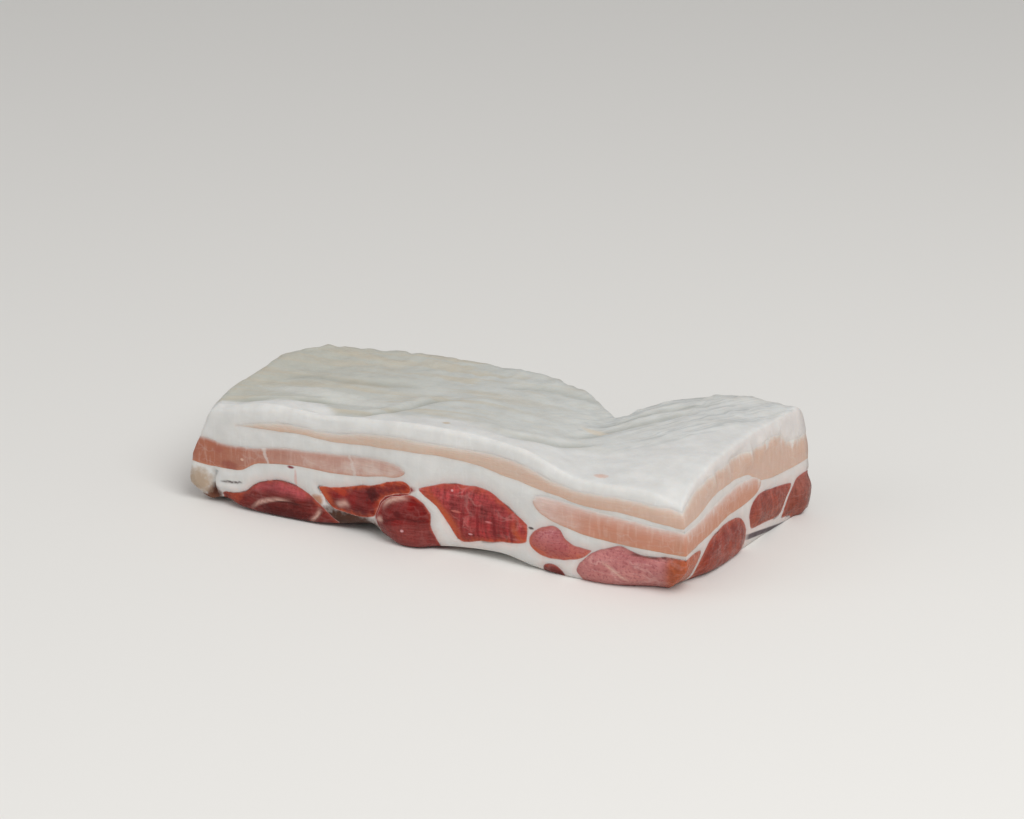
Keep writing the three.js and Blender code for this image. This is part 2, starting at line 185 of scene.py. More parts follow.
def topHeight(x, y):
    ease = slab["topEase"]
    power = lerp(ease["left"], ease["right"], smooth((x - ease["from"]) / ease["over"]))
    share = 1 - (1 - np.clip(y / slab["depth"], 0, 1)) ** power
    level = lerp(through(slab["topFront"], x), through(slab["topRear"], x), share)
    droop = slab["droop"]
    return level - droop["fall"] * bell(np.hypot(x - droop["x"], y - droop["y"]) / droop["reach"])


def bottomHeight(x, y):
    near = np.clip(1 - y / slab["liftReach"], 0, 1)
    return np.maximum(0, through(slab["frontLift"], x) * near ** slab["liftPower"])


def shellPoint(u, v, w):
    planX, planY = planPoint(u, v)
    tuck = slab["tuck"]
    low = np.clip(1 - w / slab["widestAt"], 0, 1) ** tuck["power"]
    tucked = low * np.exp(-((1 - u) ** 2 + (v / 2) ** 2) / tuck["reach"] ** 2)
    leftIn = setBack(slab["drawInLeft"], w) * (1 - slab["leftStandsUp"] * v)
    x = planX + leftIn * (1 - u) - setBack(slab["drawInRight"], w) * u
    y = planY + setBack(slab["drawInFront"], w) * (1 - v) - setBack(slab["drawInRear"], w) * v
    x = x - tuck["x"] * tucked
    y = y + tuck["y"] * tucked
    return np.column_stack([x, y, lerp(bottomHeight(x, y), topHeight(x, y), w)])


# Meshes from lattices and from rings

def newPiece(name, points, faces):
    mesh = bpy.data.meshes.new(name)
    mesh.from_pydata(((points + place) * mm).tolist(), [], faces)
    mesh.validate()
    piece = bpy.data.objects.new(name, mesh)
    bpy.context.scene.collection.objects.link(piece)
    return piece


def boxLattice(name, us, vs, ws, point):
    # the six sides of a bent box, where point(u, v, w) gives the places of its corners
    ni, nj, nk = len(us) - 1, len(vs) - 1, len(ws) - 1
    i, j, k = np.meshgrid(np.arange(ni + 1), np.arange(nj + 1), np.arange(nk + 1), indexing="ij")
    skin = (i == 0) | (i == ni) | (j == 0) | (j == nj) | (k == 0) | (k == nk)
    number = np.full(i.shape, -1)
    number[skin] = np.arange(skin.sum())
    points = point(us[i[skin]], vs[j[skin]], ws[k[skin]])
    faces = []
    sides = [(number[:, :, 0], False), (number[:, :, nk], True), (number[:, 0, :], True),
             (number[:, nj, :], False), (number[0], False), (number[ni], True)]
    for grid, turned in sides:
        corners = [grid[:-1, :-1], grid[1:, :-1], grid[1:, 1:], grid[:-1, 1:]]
        if not turned:
            corners.reverse()
        faces += np.stack(corners, axis=-1).reshape(-1, 4).tolist()
    return newPiece(name, points, faces)


def ringLoft(name, rings):
    # a closed tube through rings of points, with a flat cap on each end
    rounds, size = rings.shape[:2]
    number = np.arange(rounds * size).reshape(rounds, size)
    nextOver = np.roll(number, -1, axis=1)
    corners = [number[:-1], nextOver[:-1], nextOver[1:], number[1:]]
    faces = np.stack(corners, axis=-1).reshape(-1, 4).tolist()
    faces.append(number[0][::-1].tolist())
    faces.append(number[-1].tolist())
    return newPiece(name, rings.reshape(-1, 3), faces)


# Where the lean runs: rays leave the near side (left end, then front) for the far side (rear, then
# right end). A place on either side is one running length.
rays = {
    "nearCorner": -118, "farCorner": 128, "middleLine": 70, "reach": 14,
    "bowShare": 0.22, "bowLongest": 60, "steps": 12,
    "frontTurn": {"from": 100, "over": 22, "y": -2},        # the front line just before the right corner
    "rearTurn": {"from": -110, "over": 200, "y": 101},      # the rear line, from here out to the full depth
    "endTurn": {"over": 60, "x": 125},                      # the right end, past the far corner
}


def nearPoint(at):
    turn = rays["frontTurn"]
    front = turn["y"] * smooth((at - turn["from"]) / turn["over"])
    corner = rays["nearCorner"]
    return np.maximum(at, corner), np.where(at < corner, corner - at, front)


def farPoint(at):
    past = np.maximum(0, at - rays["farCorner"])
    end, rear = rays["endTurn"], rays["rearTurn"]
    endX = lerp(rays["farCorner"], end["x"], np.clip(past / end["over"], 0, 1))
    rearY = lerp(rear["y"], slab["depth"], np.clip((at - rear["from"]) / rear["over"], 0, 1))
    return np.where(past > 0, endX, at), np.where(past > 0, slab["depth"] - past, rearY)


def onRay(nearAt, farAt, share, past, aside):
    # a place on a ray, moved aside to its right; past is -1 or 1 where it stands outside the slab
    nearX, nearY = nearPoint(nearAt)
    farX, farY = farPoint(farAt)
    rayX, rayY = farX - nearX, farY - nearY
    long = np.hypot(rayX, rayY)
    bow = rays["bowShare"] * np.minimum(rays["bowLongest"], long) * 4 * share * (1 - share) - aside
    x, y = nearX + rayX * share, nearY + rayY * share
    middleX = np.clip(x, -rays["middleLine"], rays["middleLine"])
    awayX, awayY = x - middleX, y - slab["depth"] / 2
    away = np.hypot(awayX, awayY) / (rays["reach"] * np.abs(past) + 1e-9)
    x = x + awayX / away - rayY / long * bow
    y = y + awayY / away + rayX / long * bow
    return x, y


def rayShares():
    # shares of a ray, with one step outside the slab at each end
    inner = np.linspace(0, 1, rays["steps"])
    shares = np.concatenate([[0], inner, [1]])
    past = np.zeros(len(shares))
    past[0], past[-1] = -1, 1
    return shares, past


# The bands of pale lean

bands = {
    "upper_lean": {
        "columns": [(-94, -34), (-50, 40), (0, 128), (60, 188), (122, 243)],
        "nearTop": [(-94, 39.8), (-70, 45), (-49, 44.3), (-10, 49.2), (20, 48.8), (45, 47.6), (67, 41.6),
                    (96, 40.8), (122, 38.4)],
        "nearBottom": [(-94, 39.3), (-60, 41.3), (-46, 40.4), (5, 44.1), (39, 40.4), (67, 35.8), (96, 33.9),
                       (122, 31.8)],
        "farTop": [(-34, 41.4), (0, 42), (32, 38), (50, 33.6), (66, 36), (90, 42.6), (126, 38.5), (148, 38.6),
                   (153, 43.6), (175, 44.4), (197, 45.6), (232, 44.6), (243, 39.4)],
        "farBottom": [(-34, 41), (0, 36.6), (32, 32.6), (50, 29), (66, 29.4), (90, 31.5), (134, 25.6),
                      (171, 27.8), (181, 34), (212, 36.6), (228, 34), (243, 31.8)],
        "closedStart": 9, "closedEnd": 0, "along": 130, "wander": 0.35,
    },
    "middle_lean_left": {
        "columns": [(-184, -74), (-118, -8), (-60, 58), (-7, 112)],
        "nearTop": [(-184, 30), (-150, 31), (-112, 30.3), (-101, 29.6), (-80, 31.2), (-66, 33.6), (-50, 34.6),
                    (-30, 36.2), (-19, 37.2), (-7, 36.6)],
        "nearBottom": [(-184, 19.4), (-150, 19.6), (-117, 18.2), (-100, 17.7), (-92, 18.6), (-85, 22.5),
                       (-77, 24.6), (-60, 26.2), (-42, 25.9), (-30, 27.4), (-19, 29.4), (-7, 30.6)],
        "farTop": [(-74, 29), (-40, 30.4), (0, 29), (60, 23.8), (112, 27)],
        "farBottom": [(-74, 19.6), (-40, 22.6), (0, 21.4), (60, 19.8), (112, 22.4)],
        "closedStart": 12, "closedEnd": 8, "along": 110, "wander": 0.4,
    },
    "middle_lean_right": {
        "columns": [(54, 170), (84, 201), (122, 243)],
        "nearTop": [(54, 34.6), (66, 34.4), (78, 33.2), (90, 32.2), (122, 30.4)],
        "nearBottom": [(54, 28), (59, 25.6), (67, 22.8), (78, 21.2), (96, 19.8), (122, 19.8)],
        "farTop": [(171, 30.6), (178, 32), (188, 33), (203, 33), (212, 32.4), (230, 30.8), (243, 29.8)],
        "farBottom": [(171, 24), (178, 22.8), (184, 22.2), (203, 22.2), (222, 21), (243, 20)],
        "closedStart": 4, "closedEnd": 0, "along": 70, "wander": 0.35,
    },
}
topFat = {"least": 4.5, "atCorner": 0.8, "reach": 30}
bandEdge = {"pastCorner": 6,      # how far the first and last columns stand outside the slab's corners
            "finer": 1.3, "leastHalf": 0.25, "rippleSize": 14}


def columnAt(columns, f):
    columns = np.array(columns, dtype=float)
    at = np.linspace(0, 1, len(columns))
    return np.interp(f, at, columns[:, 0]), np.interp(f, at, columns[:, 1])


def leanBand(name, band):
    shares, past = rayShares()
    finer, corner = bandEdge["finer"], bandEdge["pastCorner"]
    first, last = band["columns"][0][0], band["columns"][-1][0]
    us = np.linspace(0, 1, band["along"] + 1)
    aside = np.zeros(len(us))
    # finer steps where a band closes inside the slab, and one step outside it where it doesn't
    if band["closedStart"]:
        us = us ** finer
    if band["closedEnd"]:
        us = 1 - (1 - us) ** finer
    if not band["closedStart"]:
        us, aside = np.append(0, us), np.append(-corner, aside)
    if not band["closedEnd"]:
        us, aside = np.append(us, 1), np.append(aside, corner)

    def closing(run, over):
        return np.sqrt(1 - (1 - np.clip(run / over, 0, 1)) ** 2) if over else 1

    def point(column, v, w):
        nearAt, farAt = columnAt(band["columns"], us[column])
        share, out = shares[v], past[v]
        x, y = onRay(nearAt, farAt, share, out, aside[column])
        top, bottom = [lerp(through(band["near" + side], nearAt), through(band["far" + side], farAt), share)
                       for side in ("Top", "Bottom")]
        full = closing(nearAt - first, band["closedStart"]) * closing(last - nearAt, band["closedEnd"])
        half = np.maximum(bandEdge["leastHalf"], (top - bottom) / 2 * full)
        away = np.hypot(x - slab["droop"]["x"], y - slab["droop"]["y"]) / topFat["reach"]
        fatOver = lerp(topFat["least"], topFat["atCorner"], bell(away))
        sink = np.maximum(0, top - topHeight(x, y) + fatOver)
        z = (top + bottom) / 2 - sink + np.where(w > 0.5, half, -half)
        spot = np.column_stack([x, y, z])
        ripple = lumps(spot * (1, 1, 3), bandEdge["rippleSize"], 11, 3)
        spot[:, 2] += band["wander"] * ripple * np.minimum(1, half)
        return spot

    return boxLattice(name, np.arange(len(us)), np.arange(len(shares)), np.array([0.0, 1.0]), point)


# The rib muscles: a row of bars that run back through the slab on the rays. Each has its left and
# right side as (height, near place, far place), and its back and foot as (place, height).

deepFoot = [(-200, -5), (250, -5)]      # a foot well under the slab, all along
muscles = [
    {"left": [(8, -196, -86)], "right": [(-4, -156, -47), (20, -159, -44)],
     "nearTop": [(-190, 14), (-172, 16.6), (-157, 13.6)], "farTop": [(-84, 13), (-62, 16.4), (-46, 14)],
     "nearFoot": deepFoot, "farFoot": deepFoot, "square": (5, 5, 9, 9), "swell": (0.6, 3)},
    {"left": [(-4, -151, -43), (20, -155, -40)], "right": [(-4, -127, -4), (20, -130, -1)],
     "nearTop": [(-154, 13.5), (-141, 16.4), (-128, 12.5)], "farTop": [(-42, 14), (-20, 18.6), (-2, 15)],
     "nearFoot": deepFoot, "farFoot": deepFoot, "square": (5, 5, 9, 9), "swell": (0.6, 3)},
    {"left": [(-4, -104, 6), (7, -103, 7), (20, -98, 8)],
     "right": [(-4, -38, 68), (3, -43, 69), (8.3, -47.6, 70), (12.3, -53, 71), (16.5, -61, 72),
               (20, -66, 73)],
     "nearTop": [(-104, 6), (-100, 6.6), (-94, 7.4), (-89, 10.1), (-85, 13.9), (-79, 16.3), (-70, 17.2),
                 (-61, 16.2), (-53, 12.4), (-44, 7)],
     "farTop": [(6, 15), (36, 18.8), (70, 15.5)],
     "nearFoot": deepFoot, "farFoot": deepFoot, "square": (12, 12, 12, 12), "swell": (0.9, 3.5)},
    {"left": [(-4, -36, 73), (8.5, -41.5, 74), (10.9, -44.6, 75), (13.3, -47.8, 76), (16.1, -51, 77),
              (19.5, -54, 78)],
     "right": [(-4, -24.5, 123), (8, -22.4, 123), (11.4, -21.6, 123), (18.6, -19.7, 123), (20.8, -17, 123),
               (21.9, -13, 123), (23.4, -7, 123), (24.4, -4.2, 123), (29, -4.4, 123)],
     "nearTop": [(-54, 18.6), (-49, 19.5), (-40, 20.8), (-30, 23.3), (-19, 26.7), (-11, 28.8), (-7, 29.2),
                 (-4, 28.6)],
     "farTop": [(76, 16), (100, 19.4), (123, 17)],
     "nearFoot": [(-45, 9.6), (-35, 8.7), (-26, 8.9), (-21, 9.8)], "farFoot": deepFoot,
     "square": (16, 9, 10, 12), "swell": (0.9, 3.5)},
    {"left": [(-4, -13, 124), (-0.4, -14.5, 124), (2.8, -19, 124), (6.3, -21.6, 124), (11.2, -21.2, 124),
              (18.2, -19.3, 124), (20.4, -16.6, 124)],
     "right": [(-4, 9, 151), (4.1, 8, 150), (7.8, 6.6, 149), (11.2, 4.6, 147), (14.4, 4.8, 145.5),
               (17.2, 4.6, 143.8), (22, 2, 143)],
     "nearTop": [(-19, 20), (-16.6, 20.9), (-13, 21.6), (-7, 23.1), (-4, 23.8), (2, 22.4)],
     "farTop": [(124, 19), (133, 20.2), (143, 19), (150, 15)],
     "nearFoot": deepFoot, "farFoot": [(124, -5), (134, -5), (141, 1.2), (150, 2.8)],
     "square": (9, 7, 7, 12), "swell": (2.4, 5)},
    {"left": [(-4, 20, 156), (5.3, 18.6, 152.6), (7.3, 17, 151), (12.1, 13.8, 148.4), (16.4, 10.8, 145.6),
              (20.7, 7.4, 144.4), (23.8, 3, 145), (27.4, -1.4, 146)],
     "right": [(-4, 51, 178), (8, 51, 178.4), (14.2, 51.3, 180.4), (20.1, 51, 178.8), (21.8, 49.4, 176),
               (24.9, 45.4, 175), (27.8, 41, 174)],
     "nearTop": [(-1.6, 27.6), (7, 29.8), (17, 31.4), (27, 31.8), (33, 30.8), (39, 28.8), (45, 25.2),
                 (51, 20.4)],
     "farTop": [(143, 18.2), (152, 19.8), (160, 21), (171, 22.2), (176, 21.2), (180, 18.6)],
     "nearFoot": [(18, 5.4), (34, 8.2), (40, 9.2), (47, 10), (51, 10.6)],
     "farFoot": [(152, 5.2), (161, 6), (178, 7.6)], "square": (16, 12, 16, 8), "swell": (1.1, 4)},
    {"left": [(7, 54.4, 182.4), (10, 52.6, 182.4), (15, 52.4, 182.6), (20, 54, 184)],
     "right": [(-4, 76, 230.5), (8, 75.6, 227.5), (10, 77.6, 226.8), (12.8, 80.6, 226), (15, 82, 225.2),
               (19, 83, 224)],
     "nearTop": [(52, 17.6), (58, 21), (63, 22.6), (67, 21), (70, 17.8), (75, 15.3), (82, 14.8)],
     "farTop": [(183, 14.6), (189, 18), (200, 19.5), (213, 19.3), (221, 17.6), (227, 13)],
     "nearFoot": [(53, 9.6), (56, 8.4), (60, 7.1), (67, 7.5), (73, 8.7), (77, 10.2), (82, 13)],
     "farFoot": deepFoot, "square": (4, 9, 4, 6), "swell": (1.2, 4)},
    {"left": [(-4, 79, 233), (-0.8, 77, 232), (3.9, 74.4, 231), (7.9, 75.6, 230), (10.1, 77.6, 229.2),
              (14.2, 81.4, 228), (17, 83, 227)],
     "right": [(8, 128, 249)],
     "nearTop": [(79, 14), (85, 16.4), (95, 18.6), (98.5, 17.4), (105, 16.8), (120, 18.4)],
     "farTop": [(228, 17), (236, 18), (243, 17.8)],
     "nearFoot": deepFoot, "farFoot": deepFoot, "square": (7, 12, 8, 12), "swell": (0.9, 3)},
]
muscleRow = {
    "footRunNear": 0.25, "footRunFar": 0.5, "footRunOver": 0.4, "deep": -5, "topSteps": 34, "sideSteps": 16,
    "wander": 0.8, "rippleSize": 11, "startHeight": 8.0, "rounds": 6, "ease": 0.7,
}


def squareRing(squareness):
    # an even walk round a square whose corners are rounded off: shares across and upward
    top, side = muscleRow["topSteps"], muscleRow["sideSteps"]
    walk = np.concatenate([
        np.column_stack([np.linspace(-1, 1, top, endpoint=False), np.ones(top)]),
        np.column_stack([np.ones(side), np.linspace(1, -1, side, endpoint=False)]),
        np.column_stack([np.linspace(1, -1, top, endpoint=False), -np.ones(top)]),
        np.column_stack([-np.ones(side), np.linspace(-1, 1, side, endpoint=False)]),
    ])
    topLeft, topRight, bottomLeft, bottomRight = squareness
    upper = np.where(walk[:, 0] < 0, topLeft, topRight)
    lower = np.where(walk[:, 0] < 0, bottomLeft, bottomRight)
    power = np.where(walk[:, 1] > 0, upper, lower)
    length = (np.abs(walk[:, 0]) ** power + np.abs(walk[:, 1]) ** power) ** (1 / power)
    walk = walk / length[:, None]
    return (walk[:, 0] + 1) / 2, (walk[:, 1] + 1) / 2


def muscleTube(name, muscle):
    shares, past = rayShares()
    across, upward = squareRing(muscle["square"])
    left, right = [np.array(muscle[side], dtype=float).T for side in ("left", "right")]
    rings = []
    for share, out in zip(shares, past):
        nearEnds = smooth((share - muscleRow["footRunNear"]) / muscleRow["footRunOver"])
        farStarts = smooth((share - muscleRow["footRunFar"]) / muscleRow["footRunOver"])
        z = np.full(len(across), muscleRow["startHeight"])
        for _ in range(muscleRow["rounds"]):
            # a height moves the sides, and a place moves the height, so they settle together
            nearAt, farAt = [lerp(np.interp(z, left[0], left[n]), np.interp(z, right[0], right[n]), across)
                             for n in (1, 2)]
            top = lerp(through(muscle["nearTop"], nearAt), through(muscle["farTop"], farAt), share)
            nearFoot = lerp(through(muscle["nearFoot"], nearAt), muscleRow["deep"], nearEnds)
            farFoot = lerp(muscleRow["deep"], through(muscle["farFoot"], farAt), farStarts)
            z = lerp(z, lerp(np.maximum(nearFoot, farFoot), top, upward), muscleRow["ease"])
        x, y = onRay(nearAt, farAt, share, out, 0)
        spot = np.column_stack([x, y, z])
        ripple = [lumps(spot * (1, 0.35, 1), muscleRow["rippleSize"], seed, 3) for seed in (51, 52)]
        spot[:, 0] += muscleRow["wander"] * ripple[0]
        spot[:, 2] += muscleRow["wander"] * ripple[1]
        rings.append(spot)
    return ringLoft(name, np.array(rings))


strip = {"from": (60, -6), "to": (71, 13), "width": 11, "height": 4.8, "taper": 0.4, "deep": -4,
         "rings": 6, "arc": 24, "swell": (0.5, 2)}


def stripTube(name):
    rings = []
    turn = np.linspace(0, math.pi, strip["arc"])
    for share in np.linspace(0, 1, strip["rings"]):
        narrow = lerp(1, strip["taper"], smooth(share * 1.4 - 0.4))
        middle, y = [lerp(strip["from"][n], strip["to"][n], share) for n in (0, 1)]
        x = middle - strip["width"] / 2 * narrow * np.cos(turn)
        z = strip["height"] * narrow * np.sin(turn)
        x = np.append(x, [x[-1], x[0]])
        z = np.append(z, [strip["deep"]] * 2)
        rings.append(np.column_stack([x, np.full(len(x), y), z]))
    return ringLoft(name, np.array(rings))


# Relief of the outer form: soft wrinkles on top, knife waves on the cut sides

relief = {
    "top": {"broad": 1.1, "broadSize": 46, "fine": 0.5, "fineSize": 15,
            "ragged": 0.6, "raggedSize": 5, "raggedFrom": 60, "raggedOver": 35},
    # nicks lie along the top edge, away from the knife's clean front: from and over in y, then in z
    "sides": {"broad": 0.5, "broadSize": 30, "fine": 0.22, "fineSize": 8,
              "nick": 1.5, "nickSize": 5, "nickAlong": (12, 20), "nickUp": (34, 8)},
    # the rim stands fuller along the front half of the left end
    "shoulder": {"at": (-118, 27), "size": (15, 27), "rise": 3.6, "foot": 26, "full": 40},
    # the white rim along the front: how softly it ends at the left and, after a share of it, at the right
    "rimSoft": {"left": 1.6, "right": 7, "over": 0.5},
    # paths in plan over the top, in x and y
    "rimLine": [(-122, 6), (-104, 9), (-88, 9), (-72, 14), (-58, 16), (-46, 7), (-32, 9), (-14, 12), (10, 20),
                (26, 15), (40, 13), (56, 24), (80, 34), (104, 62), (126, 100)],
    # a crease's lip stands this many widths away, is this many wide, and is lower on the right side
    "creaseLip": {"away": 2.2, "wide": 1.5, "lower": 0.3},
    # each crease: its path, depth, width, the height of its lip and how dark its painted shade shows
    "creases": [
        ([(-112, 8), (-90, 9), (-78, 11), (-66, 17), (-52, 26)], 0.9, 1.8, 0.8, 0.9),
        ([(-66, 8), (-46, 6), (-32, 10), (-24, 22), (-18, 40), (-7, 54)], 1.1, 2.6, 0.9, 0.8),
        ([(8, 20), (24, 14), (38, 13), (52, 24), (66, 44)], 1.0, 2.4, 0.7, 0.75),
        ([(-104, 44), (-90, 52), (-70, 53), (-52, 58), (-30, 62)], 0.6, 3, 0.5, 0.6),
        ([(-6, 76), (13, 86), (30, 88), (46, 84)], 0.7, 2.6, 0.5, 0.5),
        ([(48, 38), (60, 58), (76, 78), (90, 92)], 0.6, 2.2, 0.4, 0.7),
        ([(50, 62), (62, 76), (78, 92), (96, 104)], 0.5, 2, 0.4, 0.6),
    ],
}


def facetNormals(points, triangles):
    # one soft normal for each vertex, weighted by the area of the faces round it
    a, b, c = points[triangles[:, 0]], points[triangles[:, 1]], points[triangles[:, 2]]
    facets = np.cross(b - a, c - a)
    normals = np.zeros((len(points), 3))
    for n in range(3):
        np.add.at(normals, triangles[:, n], facets)
    return normals / (np.linalg.norm(normals, axis=1, keepdims=True) + 1e-12)


def readMesh(mesh):
    count = len(mesh.vertices)
    points = np.empty(count * 3)
    mesh.vertices.foreach_get("co", points)
    points = points.reshape(-1, 3) / mm - place
    mesh.calc_loop_triangles()
    triangles = np.empty(len(mesh.loop_triangles) * 3, dtype=int)
    mesh.loop_triangles.foreach_get("vertices", triangles)
    return points, triangles.reshape(-1, 3)


def writePoints(mesh, points):
    mesh.vertices.foreach_set("co", ((points + place) * mm).ravel())
    mesh.update()


def shoulderRelief(points):
    look = relief["shoulder"]
    away = (points[:, :2] - look["at"]) / look["size"]
    upper = smooth((points[:, 2] - look["foot"]) / (look["full"] - look["foot"]))
    return look["rise"] * upper * smooth(points[:, 1] / 9) * bell(np.linalg.norm(away, axis=1))


def topRelief(points):
    look = relief["top"]
    rise = look["broad"] * lumps(points * (1, 1.3, 0), look["broadSize"], 3)
    rise += look["fine"] * lumps(points * (0.7, 1.4, 0), look["fineSize"], 7)
    behind = smooth((points[:, 1] - look["raggedFrom"]) / look["raggedOver"])
    rise += look["ragged"] * behind * lumps(points * (1, 1, 0), look["raggedSize"], 29)
    creaseLip = relief["creaseLip"]
    for path, depth, width, lipHeight, _ in relief["creases"]:
        away, along, side = runLength(points[:, :2], path)
        lip = lipHeight * bell((away / width - creaseLip["away"]) / creaseLip["wide"])
        lip *= np.where(side > 0, 1, creaseLip["lower"])
        rise += fadeEnds(along, 0.15) * (lip - depth * bell(away / width))
    return rise


def sideRelief(points):
    look = relief["sides"]
    rise = look["broad"] * lumps(points, look["broadSize"], 17)
    rise += look["fine"] * lumps(points, look["fineSize"], 19)
    (along, alongOver), (up, upOver) = look["nickAlong"], look["nickUp"]
    nicked = smooth((points[:, 1] - along) / alongOver) * smooth((points[:, 2] - up) / upOver)
    return rise + look["nick"] * nicked * lumps(points * (1, 1, 0.3), look["nickSize"], 23, 3)


# Folds, slits and threads on the long cut side: path in x and z, width, and how much it lifts the flesh. The
# dark lines' colour is painted shade in their grooves and slits; the pale lines are partly pale membrane and
# partly painted highlight along ridges and ledges.
sideMarks = {
    "dark": [
        ([(-78, 7), (-71, 8.3), (-64, 8.2), (-57, 6.4)], 0.75, -0.9),
        ([(-22, 8.4), (-16.2, 10.2), (-7.5, 13.2), (0, 13.2), (6, 12.8)], 0.8, -0.8),
        ([(-106, 11.4), (-101, 11.8), (-95, 12.2), (-88.5, 13.8)], 0.6, -1.1),
        ([(-55.5, 1.6), (-52, 5), (-50.6, 8.4)], 0.8, -0.8),
        ([(94, 17.8), (104, 16.2), (112, 16.6), (123, 17.8)], 0.45, -0.3),
    ],
    "pale": [
        ([(-88, 1), (-86, 2.8), (-80.5, 6.6), (-72.4, 9), (-63.4, 9.8)], 0.6, 0.8),
        ([(-19, 14), (-16.5, 18.4), (-11, 21.4), (-3, 23)], 1.0, 0.8),
        ([(-22.6, 9.6), (-20, 10), (-17.6, 11)], 1.2, 0.6),
        ([(-44, 11.4), (-40, 12.6), (-37.6, 13.4), (-35.6, 10.8)], 1.4, 0.3),
        ([(85, 11.6), (90, 9.4), (95, 6.2), (101, 2.6)], 0.7, -0.3),
        ([(-57, 1), (-53, 4.6), (-51, 9)], 0.8, 0.3),
    ],
    "rust": [
        ([(-1, 30), (4, 26.5), (9, 20.5), (14, 15), (18.5, 9.5), (23, 6)], 2.0, 0),
        ([(-57, 26), (-52, 20), (-47, 14), (-42, 9)], 1.8, 0),
        ([(44, 24), (45, 18), (48, 13), (55, 9.5), (64, 10)], 1.4, 0),
    ],
    "red": [([(2, 28.5), (-5, 26), (-9, 23), (-16, 20), (-20.4, 14.4), (-22, 9), (-22, 4)], 1.5, 0)],
}


def markShare(points, path, width):
    gap, along, _ = runLength(points[:, [0, 2]], path)
    return fadeEnds(along, 0.35) * smooth((10 - points[:, 1]) / 5) * bell(gap / width)


def markShade(points, kind):
    front = points[:, 1] < 11
    shade = np.zeros(len(points))
    for path, width, _ in sideMarks[kind]:
        shade[front] = np.maximum(shade[front], markShare(points[front], path, width))
    return shade


def creaseShade(points):
    # painted shade in the creases: how dark they show, from 0 to 1
    shade = np.zeros(len(points))
    for path, _, width, _, dark in relief["creases"]:
        away, along, _ = runLength(points[:, :2], path)
        shade = np.maximum(shade, fadeEnds(along, 0.2) * dark * bell(away / width))
    return shade


def rimShade(points):
    # the white rim in front of the drawn line, sharp at the left and soft further on
    look = relief["rimSoft"]
    away, along, side = runLength(points[:, :2], relief["rimLine"])
    soft = lerp(look["left"], look["right"], smooth(along / look["over"]))
    return smooth(0.5 - side * away / soft)


rightEnd = {"from": 105, "over": 8, "turned": 0.35, "corner": 110, "slant": 0.25, "soft": 6}


def endShare(points, normals):
    # 1 on the right end, from a little before the corner
    x, _, z = points.T
    turned = smooth((normals[:, 0] - rightEnd["turned"]) / rightEnd["turned"])
    turned *= smooth((x - rightEnd["from"]) / rightEnd["over"])
    return np.maximum(turned, smooth((x - rightEnd["corner"] - z * rightEnd["slant"]) / rightEnd["soft"]))


leftLump = {
    "at": (-119, 4, 9), "size": (8, 13, 7.5), "rise": 2.6,
    "cleft": [(-103, 16), (-106.6, 14.5), (-107.4, 9), (-105.4, 3)], "cleftDepth": 3.2, "cleftWidth": 1.3,
}


def endRelief(points):
    # the lump of fat low on the left end, and the cleft that parts it from the cut face
    away = (points - leftLump["at"]) / leftLump["size"]
    rise = leftLump["rise"] * bell(np.linalg.norm(away, axis=1))
    gap, along, _ = runLength(points[:, [0, 2]], leftLump["cleft"])
    fade = fadeEnds(along, 0.25, 0.1) * smooth((9 - points[:, 1]) / 6)
    rise -= leftLump["cleftDepth"] * fade * bell(gap / leftLump["cleftWidth"])
    for path, width, lift in [mark for marks in sideMarks.values() for mark in marks]:
        rise += lift * markShare(points, path, width * 1.2)
    return rise


def slabShell():
    steps = slab["steps"]
    us, vs, ws = [np.linspace(0, 1, steps[side] + 1) for side in ("along", "across", "up")]
    # closer together near the front, the top edge and the foot
    vs = lerp(vs, vs ** 1.5, steps["nearFront"])
    ws = lerp(ws, smooth(ws), steps["nearEdges"])
    shell = boxLattice("slabShell", us, vs, ws, shellPoint)
    points, triangles = readMesh(shell.data)
    normals = facetNormals(points, triangles)
    up = normals[:, 2]
    onTop = smooth((up - 0.25) / 0.5)
    onSide = smooth((0.5 - np.abs(up)) / 0.4)
    rise = onTop * topRelief(points) + onSide * (sideRelief(points) + endRelief(points))
    points = points + normals * (rise + shoulderRelief(points))[:, None]
    points[:, 2] = np.maximum(points[:, 2], 0)
    writePoints(shell.data, points)
    return shell


# Cutting the pieces out of the slab

skin = bpy.data.materials.new("skin")
inner = bpy.data.materials.new("inner")
sliver = 0.005       # mm: shorter edges left by a cut are closed up
farthest = 30.0      # mm: distances are kept up to this one


def splitFaces(mesh):
    form = bmesh.new()
    form.from_mesh(mesh)
    bmesh.ops.dissolve_degenerate(form, dist=sliver * mm, edges=form.edges[:])
    bmesh.ops.triangulate(form, faces=form.faces[:])
    form.to_mesh(mesh)
    form.free()


def cutPiece(name, base, tools, operation):
    piece = bpy.data.objects.new(name, base.data.copy())
    bpy.context.scene.collection.objects.link(piece)
    for tool in tools:
        step = piece.modifiers.new("cut", "BOOLEAN")
        step.operation = operation
        step.solver = "MANIFOLD"
        step.material_mode = "INDEX"
        step.object = tool
    settled = piece.evaluated_get(bpy.context.evaluated_depsgraph_get())
    mesh = bpy.data.meshes.new_from_object(settled)
    piece.modifiers.clear()
    piece.data = mesh
    mesh.name = name
    splitFaces(mesh)
    return piece


def nearestOf(points, targets):
    # distance from each point to the nearest of the targets
    if len(targets) == 0:
        return np.full(len(points), farthest)
    tree = kdtree.KDTree(len(targets))
    for n, target in enumerate(targets):
        tree.insert(target, n)
    tree.balance()
    return np.array([tree.find(point)[2] for point in points])


